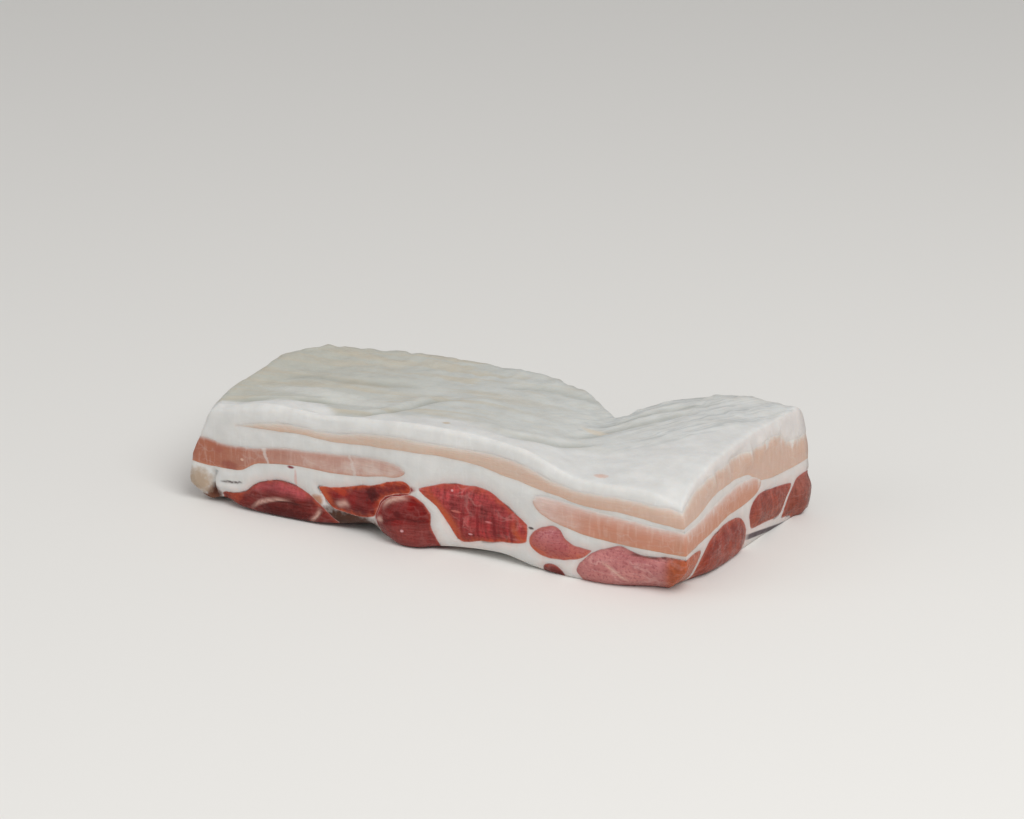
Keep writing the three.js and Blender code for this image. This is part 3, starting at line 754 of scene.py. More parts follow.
def surfaceOf(piece):
    # the piece's outer faces, the vertices on them and the rim they share with the inner walls
    mesh = piece.data
    points, triangles = readMesh(mesh)
    kinds = np.empty(len(mesh.polygons), dtype=int)
    mesh.polygons.foreach_get("material_index", kinds)
    owners = np.empty(len(mesh.loop_triangles), dtype=int)
    mesh.loop_triangles.foreach_get("polygon_index", owners)
    outside = kinds[owners] == 0
    used = [np.isin(np.arange(len(points)), triangles[part]) for part in (outside, ~outside)]
    return {"points": points, "triangles": triangles, "outside": outside, "outer": used[0],
            "rim": used[0] & used[1], "normals": facetNormals(points, triangles[outside]),
            "wallUp": facetNormals(points, triangles[~outside])[:, 2]}


def outerGap(surface, targets, within=farthest):
    # distance from each outer point to the nearest target; within is what the walls inside get
    gap = np.full(len(surface["points"]), within)
    outer = surface["outer"]
    gap[outer] = nearestOf(surface["points"][outer], targets)
    return np.minimum(gap, farthest)


def setAttributes(mesh, named):
    for name, values in named.items():
        mesh.attributes.new(name, "FLOAT", "POINT").data.foreach_set("value", np.asarray(values, dtype=float))


def softNormals(mesh, surface, points, rounds=2):
    # the outer skin shades as one soft surface, apart from the walls inside
    triangles, outside = surface["triangles"], surface["outside"]
    outer = facetNormals(points, triangles[outside])
    edges = np.vstack([triangles[outside][:, pair] for pair in ([0, 1], [1, 2], [2, 0])])
    for _ in range(rounds):
        total = outer.copy()
        np.add.at(total, edges[:, 0], outer[edges[:, 1]] * 0.5)
        np.add.at(total, edges[:, 1], outer[edges[:, 0]] * 0.5)
        outer = total / (np.linalg.norm(total, axis=1, keepdims=True) + 1e-12)
    walls = facetNormals(points, triangles[~outside])
    loopVertex = np.empty(len(mesh.loops), dtype=int)
    mesh.loops.foreach_get("vertex_index", loopVertex)
    normals = np.where(np.repeat(outside, 3)[:, None], outer[loopVertex], walls[loopVertex])
    mesh.polygons.foreach_set("use_smooth", np.ones(len(mesh.polygons), dtype=bool))
    mesh.normals_split_custom_set(normals.tolist())


# how deep the flesh sinks where lean and fat meet, how high (and over what reach) pale lean swells, how
# far down (from, over) a face may look and still move, and how steeply a wall rises over or under its lean
swell = {"groove": {"pale": 0.12, "red": 0.5}, "grooveWidth": 1.3, "pale": (0.15, 2.5),
         "facing": (-0.75, 0.4), "steep": 0.25}


def moveSkin(mesh, surface, rise):
    # out along the normals, less where the skin faces down, and never under the floor
    lowest, over = swell["facing"]
    facing = smooth((surface["normals"][:, 2] - lowest) / over)
    moved = surface["points"] + surface["normals"] * (rise * facing * surface["outer"])[:, None]
    moved[:, 2] = np.maximum(moved[:, 2], 0)
    writePoints(mesh, moved)
    softNormals(mesh, surface, moved)


def swellLean(piece, kind, height, reach):
    surface = surfaceOf(piece)
    points, rim, wallUp = surface["points"], surface["rim"], surface["wallUp"]
    away = outerGap(surface, points[rim], 0.0)
    setAttributes(piece.data, {
        "rimAway": away, "endSide": endShare(points, surface["normals"]),
        "upperAway": outerGap(surface, points[rim & (wallUp > swell["steep"])]),
        "lowerAway": outerGap(surface, points[rim & (wallUp < -swell["steep"])]),
        **{line + "Line": markShade(points, line) for line in ("dark", "pale", "rust")},
    })
    moveSkin(piece.data, surface, lerp(-swell["groove"][kind], height, 1 - bell(away / reach)))
    return points[rim]


def settleFat(piece, rims):
    surface = surfaceOf(piece)
    points, normals = surface["points"], surface["normals"]
    gaps = {kind: outerGap(surface, rims[kind]) for kind in ("pale", "red")}
    sunk = [swell["groove"][kind] * bell(gap / swell["grooveWidth"]) for kind, gap in gaps.items()]
    setAttributes(piece.data, {
        "topSide": smooth((normals[:, 2] - 0.45) / 0.4), "endSide": endShare(points, normals),
        "darkLine": markShade(points, "dark"), "redLine": markShade(points, "red"),
        "crease": creaseShade(points), "frontRim": rimShade(points),
        "paleAway": gaps["pale"], "redAway": gaps["red"],
    })
    moveSkin(piece.data, surface, -np.maximum(*sunk))


print("slab: shell and cutters")
muscleOf = {"rib_muscle_%d" % (n + 1): muscle for n, muscle in enumerate(muscles)}
shell = slabShell()
cutters = {name: leanBand(name + "_cutter", band) for name, band in bands.items()}
cutters.update({name: muscleTube(name + "_cutter", muscle) for name, muscle in muscleOf.items()})
cutters["rib_strip"] = stripTube("rib_strip_cutter")
for form in [shell, *cutters.values()]:
    form.data.materials.append(skin)
    form.data.materials.append(inner)
for cutter in cutters.values():
    cutter.data.polygons.foreach_set("material_index", [1] * len(cutter.data.polygons))

print("slab: cutting the pieces")
fat = cutPiece("belly_fat", shell, cutters.values(), "DIFFERENCE")
lean = {name: cutPiece("belly_" + name, shell, [cutter], "INTERSECT") for name, cutter in cutters.items()}
for form in [shell, *cutters.values()]:
    bpy.data.objects.remove(form)

print("slab: swelling the muscles")
swellOf = {name: muscle["swell"] for name, muscle in muscleOf.items()}
swellOf["rib_strip"] = strip["swell"]
rims = {"pale": [], "red": []}
for name, piece in lean.items():
    kind = "pale" if name in bands else "red"
    rims[kind].append(swellLean(piece, kind, *swellOf.get(name, swell["pale"])))
settleFat(fat, {kind: np.vstack(found) for kind, found in rims.items()})


# Finishes: every colour is given as it looks on a screen, 0 to 255

def tint(*shown):
    parts = [value / 255 for value in shown]
    return (*[part / 12.92 if part <= 0.04045 else ((part + 0.055) / 1.055) ** 2.4 for part in parts], 1.0)


def addNode(tree, kind, inputs, **settings):
    made = tree.nodes.new("ShaderNode" + kind)
    for key, value in settings.items():
        setattr(made, key, value)
    for key, value in inputs.items():
        if isinstance(value, bpy.types.NodeSocket):
            tree.links.new(value, made.inputs[key])
        else:
            made.inputs[key].default_value = value
    return made.outputs


def newMaterial(name):
    material = bpy.data.materials.new(name)
    material.use_nodes = True
    return material, material.node_tree, material.node_tree.nodes["Principled BSDF"]


def newFlesh(name):
    # a material whose patterns lie in the drawing's own millimetres, so that marks stay where they are drawn
    material, tree, shader = newMaterial(name)
    here = addNode(tree, "TexCoord", {})["Object"]
    inputs = {"Vector": here, "Location": tuple(-place), "Scale": (1 / mm,) * 3}
    addNode(tree, "Mapping", inputs, name="place")
    return material, tree, shader


def newGroup(name, inputs, outputs):
    group = bpy.data.node_groups.new(name, "ShaderNodeTree")
    group.interface.new_socket("Place", in_out="INPUT", socket_type="NodeSocketVector")
    for label, value in inputs.items():
        group.interface.new_socket(label, in_out="INPUT", socket_type="NodeSocketFloat").default_value = value
    for label in outputs:
        group.interface.new_socket(label, in_out="OUTPUT", socket_type="NodeSocketFloat")
    given = group.nodes.new("NodeGroupInput")
    given.name = "place"
    return group, given.outputs, group.nodes.new("NodeGroupOutput").inputs


def placeIn(tree):
    return tree.nodes["place"].outputs[0]


def axesIn(tree):
    return addNode(tree, "SeparateXYZ", {0: placeIn(tree)})


def useGroup(tree, group, **inputs):
    return addNode(tree, "Group", {"Place": placeIn(tree), **inputs}, node_tree=group)


def maths(tree, operation, first, second=0.0, clamp=False):
    return addNode(tree, "Math", {0: first, 1: second}, operation=operation, use_clamp=clamp)[0]


def times(tree, first, *others):
    for other in others:
        first = maths(tree, "MULTIPLY", first, other)
    return first


def plus(tree, first, second):
    return maths(tree, "ADD", first, second)


def less(tree, first, second, clamp=False):
    return maths(tree, "SUBTRACT", first, second, clamp)


def blend(tree, mask, first, second, how="MIX"):
    return addNode(tree, "Mix", {0: mask, 6: first, 7: second}, data_type="RGBA", blend_type=how)[2]


def layered(tree, colour, layers):
    # colours laid over one another, each through its mask
    for mask, over in layers:
        colour = blend(tree, mask, colour, over)
    return colour


def ramp(tree, value, low, high, toLow=0.0, toHigh=1.0):
    levels = {"Value": value, "From Min": low, "From Max": high, "To Min": toLow, "To Max": toHigh}
    return addNode(tree, "MapRange", levels, interpolation_type="SMOOTHSTEP")["Result"]


def noise(tree, size, stretch=(1, 1, 1), turn=0, seed=0, detail=3, distortion=0.0):
    # unevenness of a size in mm; a larger stretch makes it longer that way
    scale = [1 / (size * side) for side in stretch]
    turned = addNode(tree, "Mapping", {"Vector": placeIn(tree), "Rotation": (0, 0, math.radians(turn))})[0]
    shift = (seed, 2 * seed, 3 * seed)
    spot = addNode(tree, "Mapping", {"Vector": turned, "Location": shift, "Scale": scale})[0]
    inputs = {"Vector": spot, "Scale": 1.0, "Detail": detail, "Distortion": distortion}
    return addNode(tree, "TexNoise", inputs)[0]


def wander(tree, size, seed, reach):
    # noise on both sides of 0
    return times(tree, less(tree, noise(tree, size, seed=seed), 0.5), reach)


def carried(tree, name):
    return addNode(tree, "Attribute", {}, attribute_name=name)["Fac"]


def softEdgeGroup():
    # how near a place is to an edge, with the edge worn ragged
    group, given, result = newGroup("softEdge", {"Distance": 9.0, "Reach": 1.5, "Ragged": 0.5}, ["Mask"])
    worn = plus(group, given["Distance"], wander(group, 2.6, 5, times(group, given["Ragged"], 6.0)))
    share = maths(group, "DIVIDE", worn, given["Reach"])
    near = less(group, 1.0, maths(group, "MAXIMUM", share, 0.0), clamp=True)
    group.links.new(times(group, near, near), result["Mask"])
    return group


def muscleGrainGroup():
    # fibres, broad patches and fine specks of raw lean: size, stretch, detail and the range that shows
    grains = {
        "Fibre": (0.9, (9, 3, 0.8), 4, (0.3, 0.7)), "Patch": (9, (1, 1, 1), 3, (0.35, 0.65)),
        "Speck": (1.1, (1, 1, 1), 2, (0.52, 0.66)), "Upright": (1.5, (1, 1, 7), 3, (0.3, 0.7)),
    }
    group, _, result = newGroup("muscleGrain", {}, grains)
    for seed, (label, (size, stretch, detail, shown)) in enumerate(grains.items(), 1):
        grain = noise(group, size, stretch, seed=seed, detail=detail)
        group.links.new(ramp(group, grain, *shown), result[label])
    return group


def marblingGroup():
    # thin wandering threads of fat, in patches
    group, given, result = newGroup("marbling", {"Size": 9.0, "Width": 0.06, "Amount": 0.5}, ["Mask"])
    at = placeIn(group)
    pushed = addNode(group, "TexNoise", {"Vector": at, "Scale": 0.16, "Detail": 3.0})["Color"]
    push = addNode(group, "VectorMath", {0: pushed, "Scale": 9.0}, operation="SCALE")[0]
    bent = addNode(group, "VectorMath", {0: at, 1: push}, operation="ADD")[0]
    flat = addNode(group, "VectorMath", {0: bent, 1: (0.55, 0.55, 1.25)}, operation="MULTIPLY")[0]
    scale = maths(group, "DIVIDE", 1.0, given["Size"])
    cells = addNode(group, "TexVoronoi", {"Vector": flat, "Scale": scale}, feature="DISTANCE_TO_EDGE")
    thread = less(group, 1.0, maths(group, "DIVIDE", cells["Distance"], given["Width"]), clamp=True)
    patches = ramp(group, noise(group, 13, seed=8), 0.38, 0.62)
    mask = maths(group, "MULTIPLY", times(group, thread, patches), given["Amount"], clamp=True)
    group.links.new(mask, result["Mask"])
    return group


def wetSkinGroup():
    # roughness and relief of moist cut meat
    group, given, result = newGroup("wetSkin", {"Dry": 0.5, "Wet": 0.25}, ["Roughness", "Height"])
    patches = ramp(group, noise(group, 5, seed=21), 0.4, 0.62)
    rough = plus(group, given["Dry"], times(group, patches, less(group, given["Wet"], given["Dry"])))
    group.links.new(rough, result["Roughness"])
    fine = times(group, noise(group, 1.2, seed=22, detail=4), 0.35)
    broad = noise(group, 4.5, (1.4, 1.4, 1), seed=23, detail=2)
    group.links.new(plus(group, fine, broad), result["Height"])
    return group


softEdge = softEdgeGroup()
muscleGrain = muscleGrainGroup()
marbling = marblingGroup()
wetSkin = wetSkinGroup()
white = tint(214, 212, 208)


def edgeMask(tree, name, reach, ragged=0.3):
    return useGroup(tree, softEdge, Distance=carried(tree, name), Reach=reach, Ragged=ragged)["Mask"]


def marblingMask(tree, size, width, amount):
    return useGroup(tree, marbling, Size=size, Width=width, Amount=amount)["Mask"]


def spotMask(tree, centre, size, ragged=1.2):
    # a small round mark, for stains and for painted highlights and shade; its centre has a None where it runs
    # right through
    total = wander(tree, 2.2, 31, ragged)
    for axis, middle, reach in zip(axesIn(tree), centre, size):
        if middle is not None:
            away = maths(tree, "DIVIDE", less(tree, axis, middle), reach)
            total = plus(tree, total, times(tree, away, away))
    return ramp(tree, total, 0.1, 1.3, 1.0, 0.0)


# dry and wet are the roughness of each patch, relief the strength and depth (mm) of the bumps
flesh = {
    "fat": {"dry": 0.62, "wet": 0.42, "relief": (0.35, 0.5), "shader": {
        "Subsurface Weight": 0.35, "Subsurface Radius": (1, 0.8, 0.65), "Subsurface Scale": 3 * mm,
        "Coat Weight": 0.08, "Coat Roughness": 0.35, "Specular IOR Level": 0.3}},
    "pale": {"dry": 0.5, "wet": 0.34, "relief": (0.35, 0.4), "fibres": 0.4, "shader": {
        "Subsurface Weight": 0.3, "Subsurface Radius": (1, 0.5, 0.35), "Subsurface Scale": 2.5 * mm,
        "Coat Weight": 0.2, "Coat Roughness": 0.25}},
    "red": {"dry": 0.44, "wet": 0.2, "relief": (0.5, 0.5), "fibres": 0.5, "shader": {
        "Subsurface Weight": 0.12, "Subsurface Radius": (1, 0.3, 0.2), "Subsurface Scale": 1.4 * mm,
        "Coat Weight": 0.14, "Coat Roughness": 0.1, "Specular IOR Level": 0.12}},
}


def giveFlesh(tree, shader, colour, look, grain=None):
    skin = useGroup(tree, wetSkin, Dry=look["dry"], Wet=look["wet"])
    height = skin["Height"]
    if grain is not None:
        height = plus(tree, height, times(tree, grain["Fibre"], look["fibres"]))
    strength, distance = look["relief"]
    bump = addNode(tree, "Bump", {"Height": height, "Strength": strength, "Distance": distance * mm})
    tree.links.new(colour, shader.inputs["Base Color"])
    tree.links.new(skin["Roughness"], shader.inputs["Roughness"])
    tree.links.new(bump["Normal"], shader.inputs["Normal"])
    for label, value in look["shader"].items():
        shader.inputs[label].default_value = value


fatLook = {
    # topLeft to topRight: the fat's own grey with painted shade on the left and painted light on the right
    "topLeft": tint(184, 183, 172), "topMiddle": tint(193, 194, 189), "topRight": tint(208, 208, 205),
    # crease is painted shade for the creases of the top
    "beige": tint(190, 181, 163), "grey": tint(168, 171, 170), "crease": tint(150, 151, 142),
    "front": tint(209, 208, 205), "pink": tint(207, 186, 180), "warm": tint(208, 194, 184),
    # the last colour here is painted shade for a fold low on the right end
    "end": tint(206, 200, 196), "streak": tint(222, 221, 219), "foldShade": tint(84, 70, 74),
    # the first colour here is painted shade for the slits, folds and grooves of the cut side
    "grooveShade": tint(74, 52, 46), "touching": tint(134, 34, 28),
    # marks: place, size and colour; None runs right through
    "topMarks": [
        ((82, 7, None), (3.4, 2, 1), tint(204, 172, 158)), ((6, 11, None), (2, 2, 1), tint(196, 176, 148)),
        ((55, 56, None), (8, 2.4, 1), tint(202, 192, 176)),
        # a paler band over a ridge on the top left: painted light where the ridge catches it
        ((-60, 31, None), (40, 8, 1), tint(203, 203, 197)),
    ],
    "frontMarks": [
        ((-66, None, 25), (2, 1, 0.8), tint(126, 48, 56)),
        ((-63.5, None, 19), (0.8, 1, 6), tint(208, 178, 172)),
        # the second mark here is the brown of the lip under the seam, darkened with painted shade where it
        # lies in shadow
        ((53, None, 19), (1.5, 1, 0.7), tint(80, 66, 66)), ((-38, None, 4.5), (21, 1, 7), tint(70, 34, 14)),
        # painted shade, brown, in the foot of the cleft beside the lump
        ((-107, None, 4.5), (4.4, 1, 5.5), tint(84, 38, 16)),
        ((-114, None, 10), (7, 1, 7), tint(172, 152, 132)),
        ((-110, None, 1.5), (7, 1, 3), tint(112, 66, 42)),
        ((-53, None, 12), (3.5, 1, 3), tint(186, 136, 110)),
        ((12, None, 0.6), (14, 1, 1.3), tint(176, 112, 74)),
    ],
}


def fatFinish():
    look = fatLook
    material, tree, shader = newFlesh("pork fat")
    x, y, z = axesIn(tree)
    # the top: greyer and warmer to the rear left, whiter towards the right; partly the fat's own grey, partly
    # painted shade on the left and painted light on the right
    run = less(tree, x, times(tree, y, 0.25))
    bands = ramp(tree, noise(tree, 9, (6, 1, 1), turn=-8, seed=41, distortion=0.6), 0.44, 0.62)
    streaks = ramp(tree, noise(tree, 3, (10, 1, 1), turn=-50, seed=42, distortion=1.2), 0.42, 0.75)
    top = layered(tree, look["topLeft"], [
        (ramp(tree, run, -130, -10), look["topMiddle"]),
        (ramp(tree, run, -10, 90), look["topRight"]),
        (times(tree, bands, ramp(tree, x, -20, 50, 0.75, 0.12)), look["beige"]),
        (times(tree, streaks, ramp(tree, y, 20, 60), ramp(tree, x, 20, 60, 0.15, 0.7)), look["grey"]),
        # painted shade darkens the creases
        (times(tree, carried(tree, "crease"), 0.75), look["crease"]),
        (carried(tree, "frontRim"), look["front"]),
    ])
    # the cut sides: white, pink beside the red lean and warm beside the pale
    mottle = noise(tree, 7, (1, 1, 1.6), seed=43)
    patchy = ramp(tree, mottle, 0.3, 0.7, 0.3, 0.9)
    side = layered(tree, look["front"], [
        (carried(tree, "endSide"), look["end"]),
        (times(tree, edgeMask(tree, "redAway", 6.5, 0.5), patchy), look["pink"]),
        (times(tree, edgeMask(tree, "paleAway", 2.2), 0.5), look["warm"]),
        (ramp(tree, noise(tree, 1.4, (1, 1, 8), seed=44), 0.55, 0.8, 0, 0.35), look["streak"]),
    ])
    onTop = carried(tree, "topSide")
    onFront = times(tree, less(tree, 1.0, onTop), ramp(tree, y, 10, 20, 1.0, 0.0))
    marks = [(at, size, markColour, 0.85) for at, size, markColour in look["topMarks"]]
    marks += [(at, size, markColour, onFront) for at, size, markColour in look["frontMarks"]]
    # painted shade in a fold low on the right end
    fold = plus(tree, z, times(tree, less(tree, y, 62.0), 0.18))
    inFoldShade = times(tree, ramp(tree, fold, 4, 4.8), ramp(tree, fold, 6.6, 7.4, 1.0, 0.0))
    colour = layered(tree, blend(tree, onTop, side, top), [
        *[(times(tree, spotMask(tree, at, size), share), markColour) for at, size, markColour, share in marks],
        (ramp(tree, carried(tree, "redLine"), 0.1, 0.45), look["touching"]),
        # painted shade in the slits, folds and grooves of the cut side
        (ramp(tree, carried(tree, "darkLine"), 0.2, 0.9, 0, 0.85), look["grooveShade"]),
        (times(tree, inFoldShade, carried(tree, "endSide"), ramp(tree, y, 60, 66)), look["foldShade"]),
    ])
    shade = ramp(tree, mottle, 0.25, 0.75, 0.94, 1.04)
    mottled = addNode(tree, "CombineColor", {0: shade, 1: shade, 2: shade})[0]
    giveFlesh(tree, shader, blend(tree, 1.0, colour, mottled, "MULTIPLY"), flesh["fat"])
    return material


paleLook = {
    "upper_lean": {
        "left": tint(199, 178, 161), "right": tint(200, 168, 150), "across": (0, 96),
        "end": tint(193, 161, 144), "deep": tint(196, 160, 138), "lowerEdge": tint(206, 162, 136),
        "back": 0.4, "fade": 3.4, "seams": [],
        "marks": [((125, 101, 38), (7, 1.8, 5), white), ((125, 80, 44), (7, 2, 4), white),
                  ((125, 66, 47), (7, 3, 2), white), ((125, 110, 40), (7, 2, 2.5), white)],
    },
    "middle_lean_left": {
        "left": tint(162, 92, 64), "right": tint(206, 184, 174), "across": (-112, -20),
        "end": tint(190, 160, 144), "deep": tint(160, 92, 68), "lowerEdge": tint(190, 122, 90),
        "back": 0.4, "fade": 2.2,
        "seams": [(-78.5, 0.9, 0.5), (-33, 0.7, 0.35)],     # white: place, half width and strength of each
        "marks": [((-98, None, 19.8), (5, 1, 2.6), tint(142, 68, 50)),
                  ((-104, None, 26), (3, 1, 2), tint(158, 84, 62)),
                  ((-91, None, 24), (1, 1, 0.7), tint(214, 180, 160))],
    },
    "middle_lean_right": {
        "left": tint(210, 188, 180), "right": tint(194, 130, 104), "across": (54, 88),
        "end": tint(186, 126, 98), "deep": tint(180, 124, 100), "lowerEdge": tint(192, 132, 100),
        "back": 0.85, "fade": 2.6, "seams": [], "marks": [],
    },
}
paleStreak = tint(212, 188, 174)


def paleFinish(name):
    look = paleLook[name]
    material, tree, shader = newFlesh("pale lean " + name)
    x, _, z = axesIn(tree)
    grain = useGroup(tree, muscleGrain)
    along = plus(tree, x, times(tree, less(tree, z, 27.0), 0.35))
    along = plus(tree, along, wander(tree, 4, 61, 5.0))
    seams = []
    for middle, width, strength in look["seams"]:
        away = maths(tree, "ABSOLUTE", less(tree, along, middle))
        seams.append((ramp(tree, away, 0.2, width + 0.5, strength, 0.0), white))
    # the band's back fades into the fat, raggedly and in tall wedges on the right end
    wedge = ramp(tree, noise(tree, 2.4, (1, 1, 12), seed=62), 0.5, 0.72)
    fade = times(tree, edgeMask(tree, "upperAway", look["fade"], 0.15), 0.75)
    tall = times(tree, edgeMask(tree, "upperAway", 8.0, 0.3), wedge, carried(tree, "endSide"), 0.85)
    colour = layered(tree, look["left"], [
        (ramp(tree, x, *look["across"]), look["right"]),
        (carried(tree, "endSide"), look["end"]),
        (times(tree, grain["Patch"], 0.4), look["deep"]),
        (ramp(tree, grain["Upright"], 0.5, 1, 0, 0.2), paleStreak),
        (times(tree, grain["Fibre"], 0.12), look["deep"]),
        (times(tree, edgeMask(tree, "upperAway", 7, 0.4), look["back"]), look["left"]),
        (times(tree, edgeMask(tree, "lowerAway", 2.2, 0.2), 0.6), look["lowerEdge"]),
        (marblingMask(tree, 10.0, 0.05, 0.14), white),
        *seams,
        *[(times(tree, spotMask(tree, at, size), 0.8), markColour) for at, size, markColour in look["marks"]],
        (maths(tree, "MAXIMUM", fade, tall, clamp=True), white),
    ])
    giveFlesh(tree, shader, colour, flesh["pale"], grain)
    return material


def redLook(upper, lower, levels, **changes):
    look = {"upper": tint(*upper), "lower": tint(*lower), "levels": levels, "tilt": 0, "dark": tint(64, 8, 8),
            "patches": 0.45, "edge": tint(176, 78, 46), "edgeReach": 1.8, "edgeStrength": 0.6,
            "back": tint(140, 66, 72), "backReach": 2.5, "backStrength": 0.4, "fibre": 0.1, "upright": 0.2,
            "specks": 0.2, "marble": 0.2, "pale": tint(196, 130, 124), "marks": []}
    look.update(changes)
    return look


# each muscle's looks on the front and, where it differs, on the right end
# a painted highlight: small wet glints set into the colour of the red lean
paintedGlint = tint(222, 170, 172)
redLooks = {
    "rib_muscle_1": [redLook((132, 56, 52), (120, 42, 34), (4, 13))],
    "rib_muscle_2": [redLook((128, 50, 44), (116, 38, 32), (4, 13))],
    "rib_muscle_3": [
        redLook((180, 78, 82), (112, 24, 16), (9, 14), marble=0.1, edgeStrength=0.8, edgeReach=2.6, marks=[
            ((-70, None, 3.2), (16, 1, 4), tint(70, 8, 6)), ((-96, None, 6), (5, 1, 4), tint(158, 66, 44))]),
    ],
    "rib_muscle_4": [
        redLook((138, 12, 10), (112, 6, 6), (10, 20), edge=tint(196, 84, 46), edgeReach=3.4, edgeStrength=0.8,
                backStrength=0.0, marble=0.1, patches=0.5, marks=[
            ((-24, None, 20), (4, 1, 4), tint(56, 4, 6)), ((-40, None, 18), (4, 1, 1.6), tint(170, 60, 36))]),
    ],
    "rib_muscle_5": [
        redLook((128, 8, 6), (132, 50, 46), (11.4, 12.8), tilt=0.2, marble=0.08, back=tint(186, 84, 76),
                backReach=1.8, backStrength=0.45, patches=0.4, edgeStrength=0.35, marks=[
            ((-7, None, 8), (1, 1, 0.8), paintedGlint), ((-9, None, 15), (3, 1, 1.6), tint(84, 6, 8))]),
        redLook((160, 92, 78), (158, 78, 56), (6, 16), upright=0.4, patches=0.25),
    ],
    "rib_muscle_6": [
        redLook((182, 66, 68), (170, 48, 48), (8, 26), edge=tint(200, 92, 54), edgeReach=3.8, upright=0.6,
                specks=0.3, backReach=3.4, backStrength=0.5, pale=tint(214, 120, 116), back=tint(168, 72, 72),
                fibre=0.16, marks=[
            ((19.7, None, 14), (0.9, 1, 7), tint(120, 26, 30)),
            ((27.5, None, 17), (0.8, 1, 8), tint(120, 26, 30)),
            ((35.6, None, 15), (1, 1, 7), tint(116, 26, 30)),
            ((43.5, None, 14), (0.8, 1, 6), tint(120, 28, 32)),
            ((36, None, 7.4), (12, 1, 1.2), tint(196, 140, 112)), ((15, None, 29), (0.7, 1, 0.6), paintedGlint),
            ((24, None, 10.8), (1.2, 1, 0.5), paintedGlint), ((17, None, 20), (2.6, 1, 0.6), tint(196, 110, 100)),
            ((33, None, 18), (2, 1, 0.5), tint(200, 120, 120))]),
        redLook((156, 74, 58), (162, 78, 50), (6, 18), upright=0.45, patches=0.3),
    ],
    "rib_muscle_7": [
        redLook((184, 118, 120), (186, 104, 92), (10, 20), dark=tint(134, 44, 58), specks=0.5,
                edge=tint(186, 96, 62), edgeReach=3, patches=0.35, marble=0.2),
        redLook((152, 52, 34), (160, 62, 34), (4, 18), edge=tint(190, 96, 62), edgeReach=4, upright=0.45,
                patches=0.3),
    ],
    "rib_muscle_8": [
        redLook((194, 128, 126), (194, 132, 126), (4, 16), dark=tint(126, 42, 56), specks=0.4, fibre=0.3,
                edge=tint(184, 108, 90), marble=0.6, patches=0.35, back=tint(96, 40, 56), backReach=1.6,
                backStrength=0.6),
        redLook((182, 92, 54), (184, 88, 42), (4, 16), edge=tint(194, 104, 60), patches=0.2, upright=0.3),
    ],
    "rib_strip": [redLook((112, 40, 34), (104, 32, 24), (0, 4))],
}
redLines = {"rust": tint(186, 86, 52), "dark": tint(60, 16, 14), "pale": tint(214, 174, 160),
            "thread": tint(206, 160, 154)}


def fleshColour(tree, grain, look):
    x, _, z = axesIn(tree)
    level = less(tree, plus(tree, z, wander(tree, 7, 51, 4.0)), times(tree, x, look["tilt"]))
    return layered(tree, look["lower"], [
        (ramp(tree, level, *look["levels"]), look["upper"]),
        (times(tree, grain["Patch"], look["patches"]), look["dark"]),
        (times(tree, grain["Upright"], look["upright"]), look["dark"]),
        (times(tree, grain["Fibre"], look["fibre"]), look["pale"]),
        (times(tree, grain["Speck"], look["specks"]), look["dark"]),
        (times(tree, edgeMask(tree, "rimAway", look["edgeReach"], 0.8), look["edgeStrength"]), look["edge"]),
        (times(tree, edgeMask(tree, "upperAway", look["backReach"]), look["backStrength"]), look["back"]),
        (marblingMask(tree, 9.0, 0.07, look["marble"]), redLines["thread"]),
        *[(times(tree, spotMask(tree, at, size, 2.0), 0.75), markColour) for at, size, markColour in look["marks"]],
    ])


def redFinish(name):
    looks = redLooks[name]
    material, tree, shader = newFlesh("red lean " + name)
    grain = useGroup(tree, muscleGrain)
    colour = fleshColour(tree, grain, looks[0])
    if len(looks) > 1:
        colour = blend(tree, carried(tree, "endSide"), colour, fleshColour(tree, grain, looks[1]))
    colour = layered(tree, colour, [
        (times(tree, carried(tree, "rustLine"), 0.8), redLines["rust"]),
        # painted shade in the grooves and slits of the dark lines
        (times(tree, carried(tree, "darkLine"), 0.75), redLines["dark"]),
        # pale lines: partly pale membrane, partly painted highlight along ridges and ledges
        (times(tree, carried(tree, "paleLine"), 0.8), redLines["pale"]),
        # the outermost hair's breadth is pale, where the lean meets the fat
        (times(tree, edgeMask(tree, "rimAway", 0.6, 0.1), 0.4), white),
    ])
    giveFlesh(tree, shader, colour, flesh["red"], grain)
    return material


def wear(piece, material):
    piece.data.materials.clear()
    piece.data.materials.append(material)
    piece.data.polygons.foreach_set("material_index", [0] * len(piece.data.polygons))


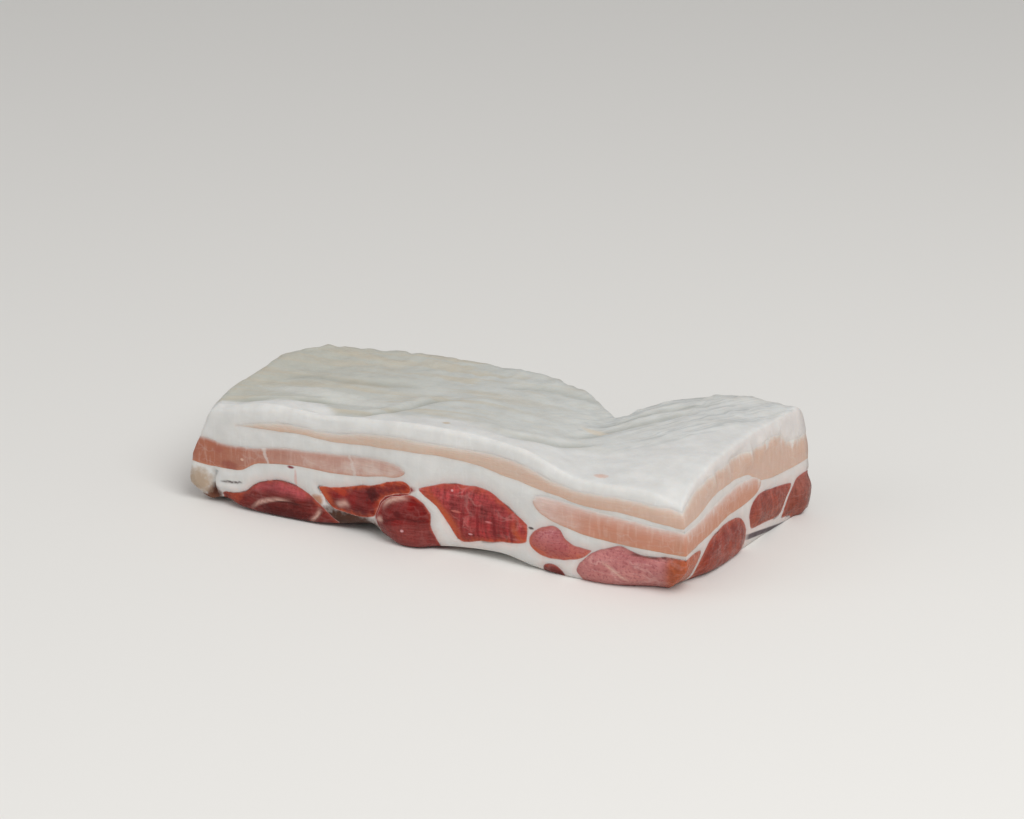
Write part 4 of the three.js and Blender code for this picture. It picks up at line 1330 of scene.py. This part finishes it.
print("slab: finishes")
wear(fat, fatFinish())
for name, piece in lean.items():
    wear(piece, paleFinish(name) if name in bands else redFinish(name))

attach(fat, "root")
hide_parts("fat")
for name, piece in lean.items():
    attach(piece, "root")
    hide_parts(name)


# Floor, light and camera

studio = {
    "floorSize": 8, "floorColour": tint(226, 224, 220), "floorRoughness": 0.8,
    "sky": tint(238, 238, 238), "skyPower": 0.55,
    "lamps": [
        {"name": "key", "at": (1.1, -0.7, 1.5), "size": 1.2, "power": 26},
        {"name": "fill", "at": (-1.2, -1.4, 0.9), "size": 1.4, "power": 7},
    ],
    "camera": {"at": (0.6507, -1.2077, 0.5440), "elevation": 20, "azimuth": 27.97, "lens": 116.54},
}


def floorFinish():
    material, _, shader = newMaterial("pale floor")
    shader.inputs["Base Color"].default_value = studio["floorColour"]
    shader.inputs["Roughness"].default_value = studio["floorRoughness"]
    return material


def buildStudio():
    bpy.ops.mesh.primitive_plane_add(size=studio["floorSize"])
    floor = bpy.context.active_object
    floor.name = "studio_floor"
    floor.data.materials.append(floorFinish())
    world = bpy.data.worlds.new("studio")
    world.use_nodes = True
    world.node_tree.nodes["Background"].inputs["Color"].default_value = studio["sky"]
    world.node_tree.nodes["Background"].inputs["Strength"].default_value = studio["skyPower"]
    bpy.context.scene.world = world
    for spec in studio["lamps"]:
        light = bpy.data.lights.new(spec["name"], "AREA")
        light.size = spec["size"]
        light.energy = spec["power"]
        lamp = bpy.data.objects.new(spec["name"], light)
        lamp.location = spec["at"]
        lamp.rotation_euler = (-Vector(spec["at"])).to_track_quat("-Z", "Y").to_euler()
        bpy.context.scene.collection.objects.link(lamp)
    view = studio["camera"]
    data = bpy.data.cameras.new("camera")
    data.lens = view["lens"]
    camera = bpy.data.objects.new("camera", data)
    camera.location = view["at"]
    camera.rotation_euler = (math.radians(90 - view["elevation"]), 0, math.radians(view["azimuth"]))
    bpy.context.scene.collection.objects.link(camera)
    bpy.context.scene.camera = camera
    bpy.context.scene.view_settings.view_transform = "Standard"


buildStudio()
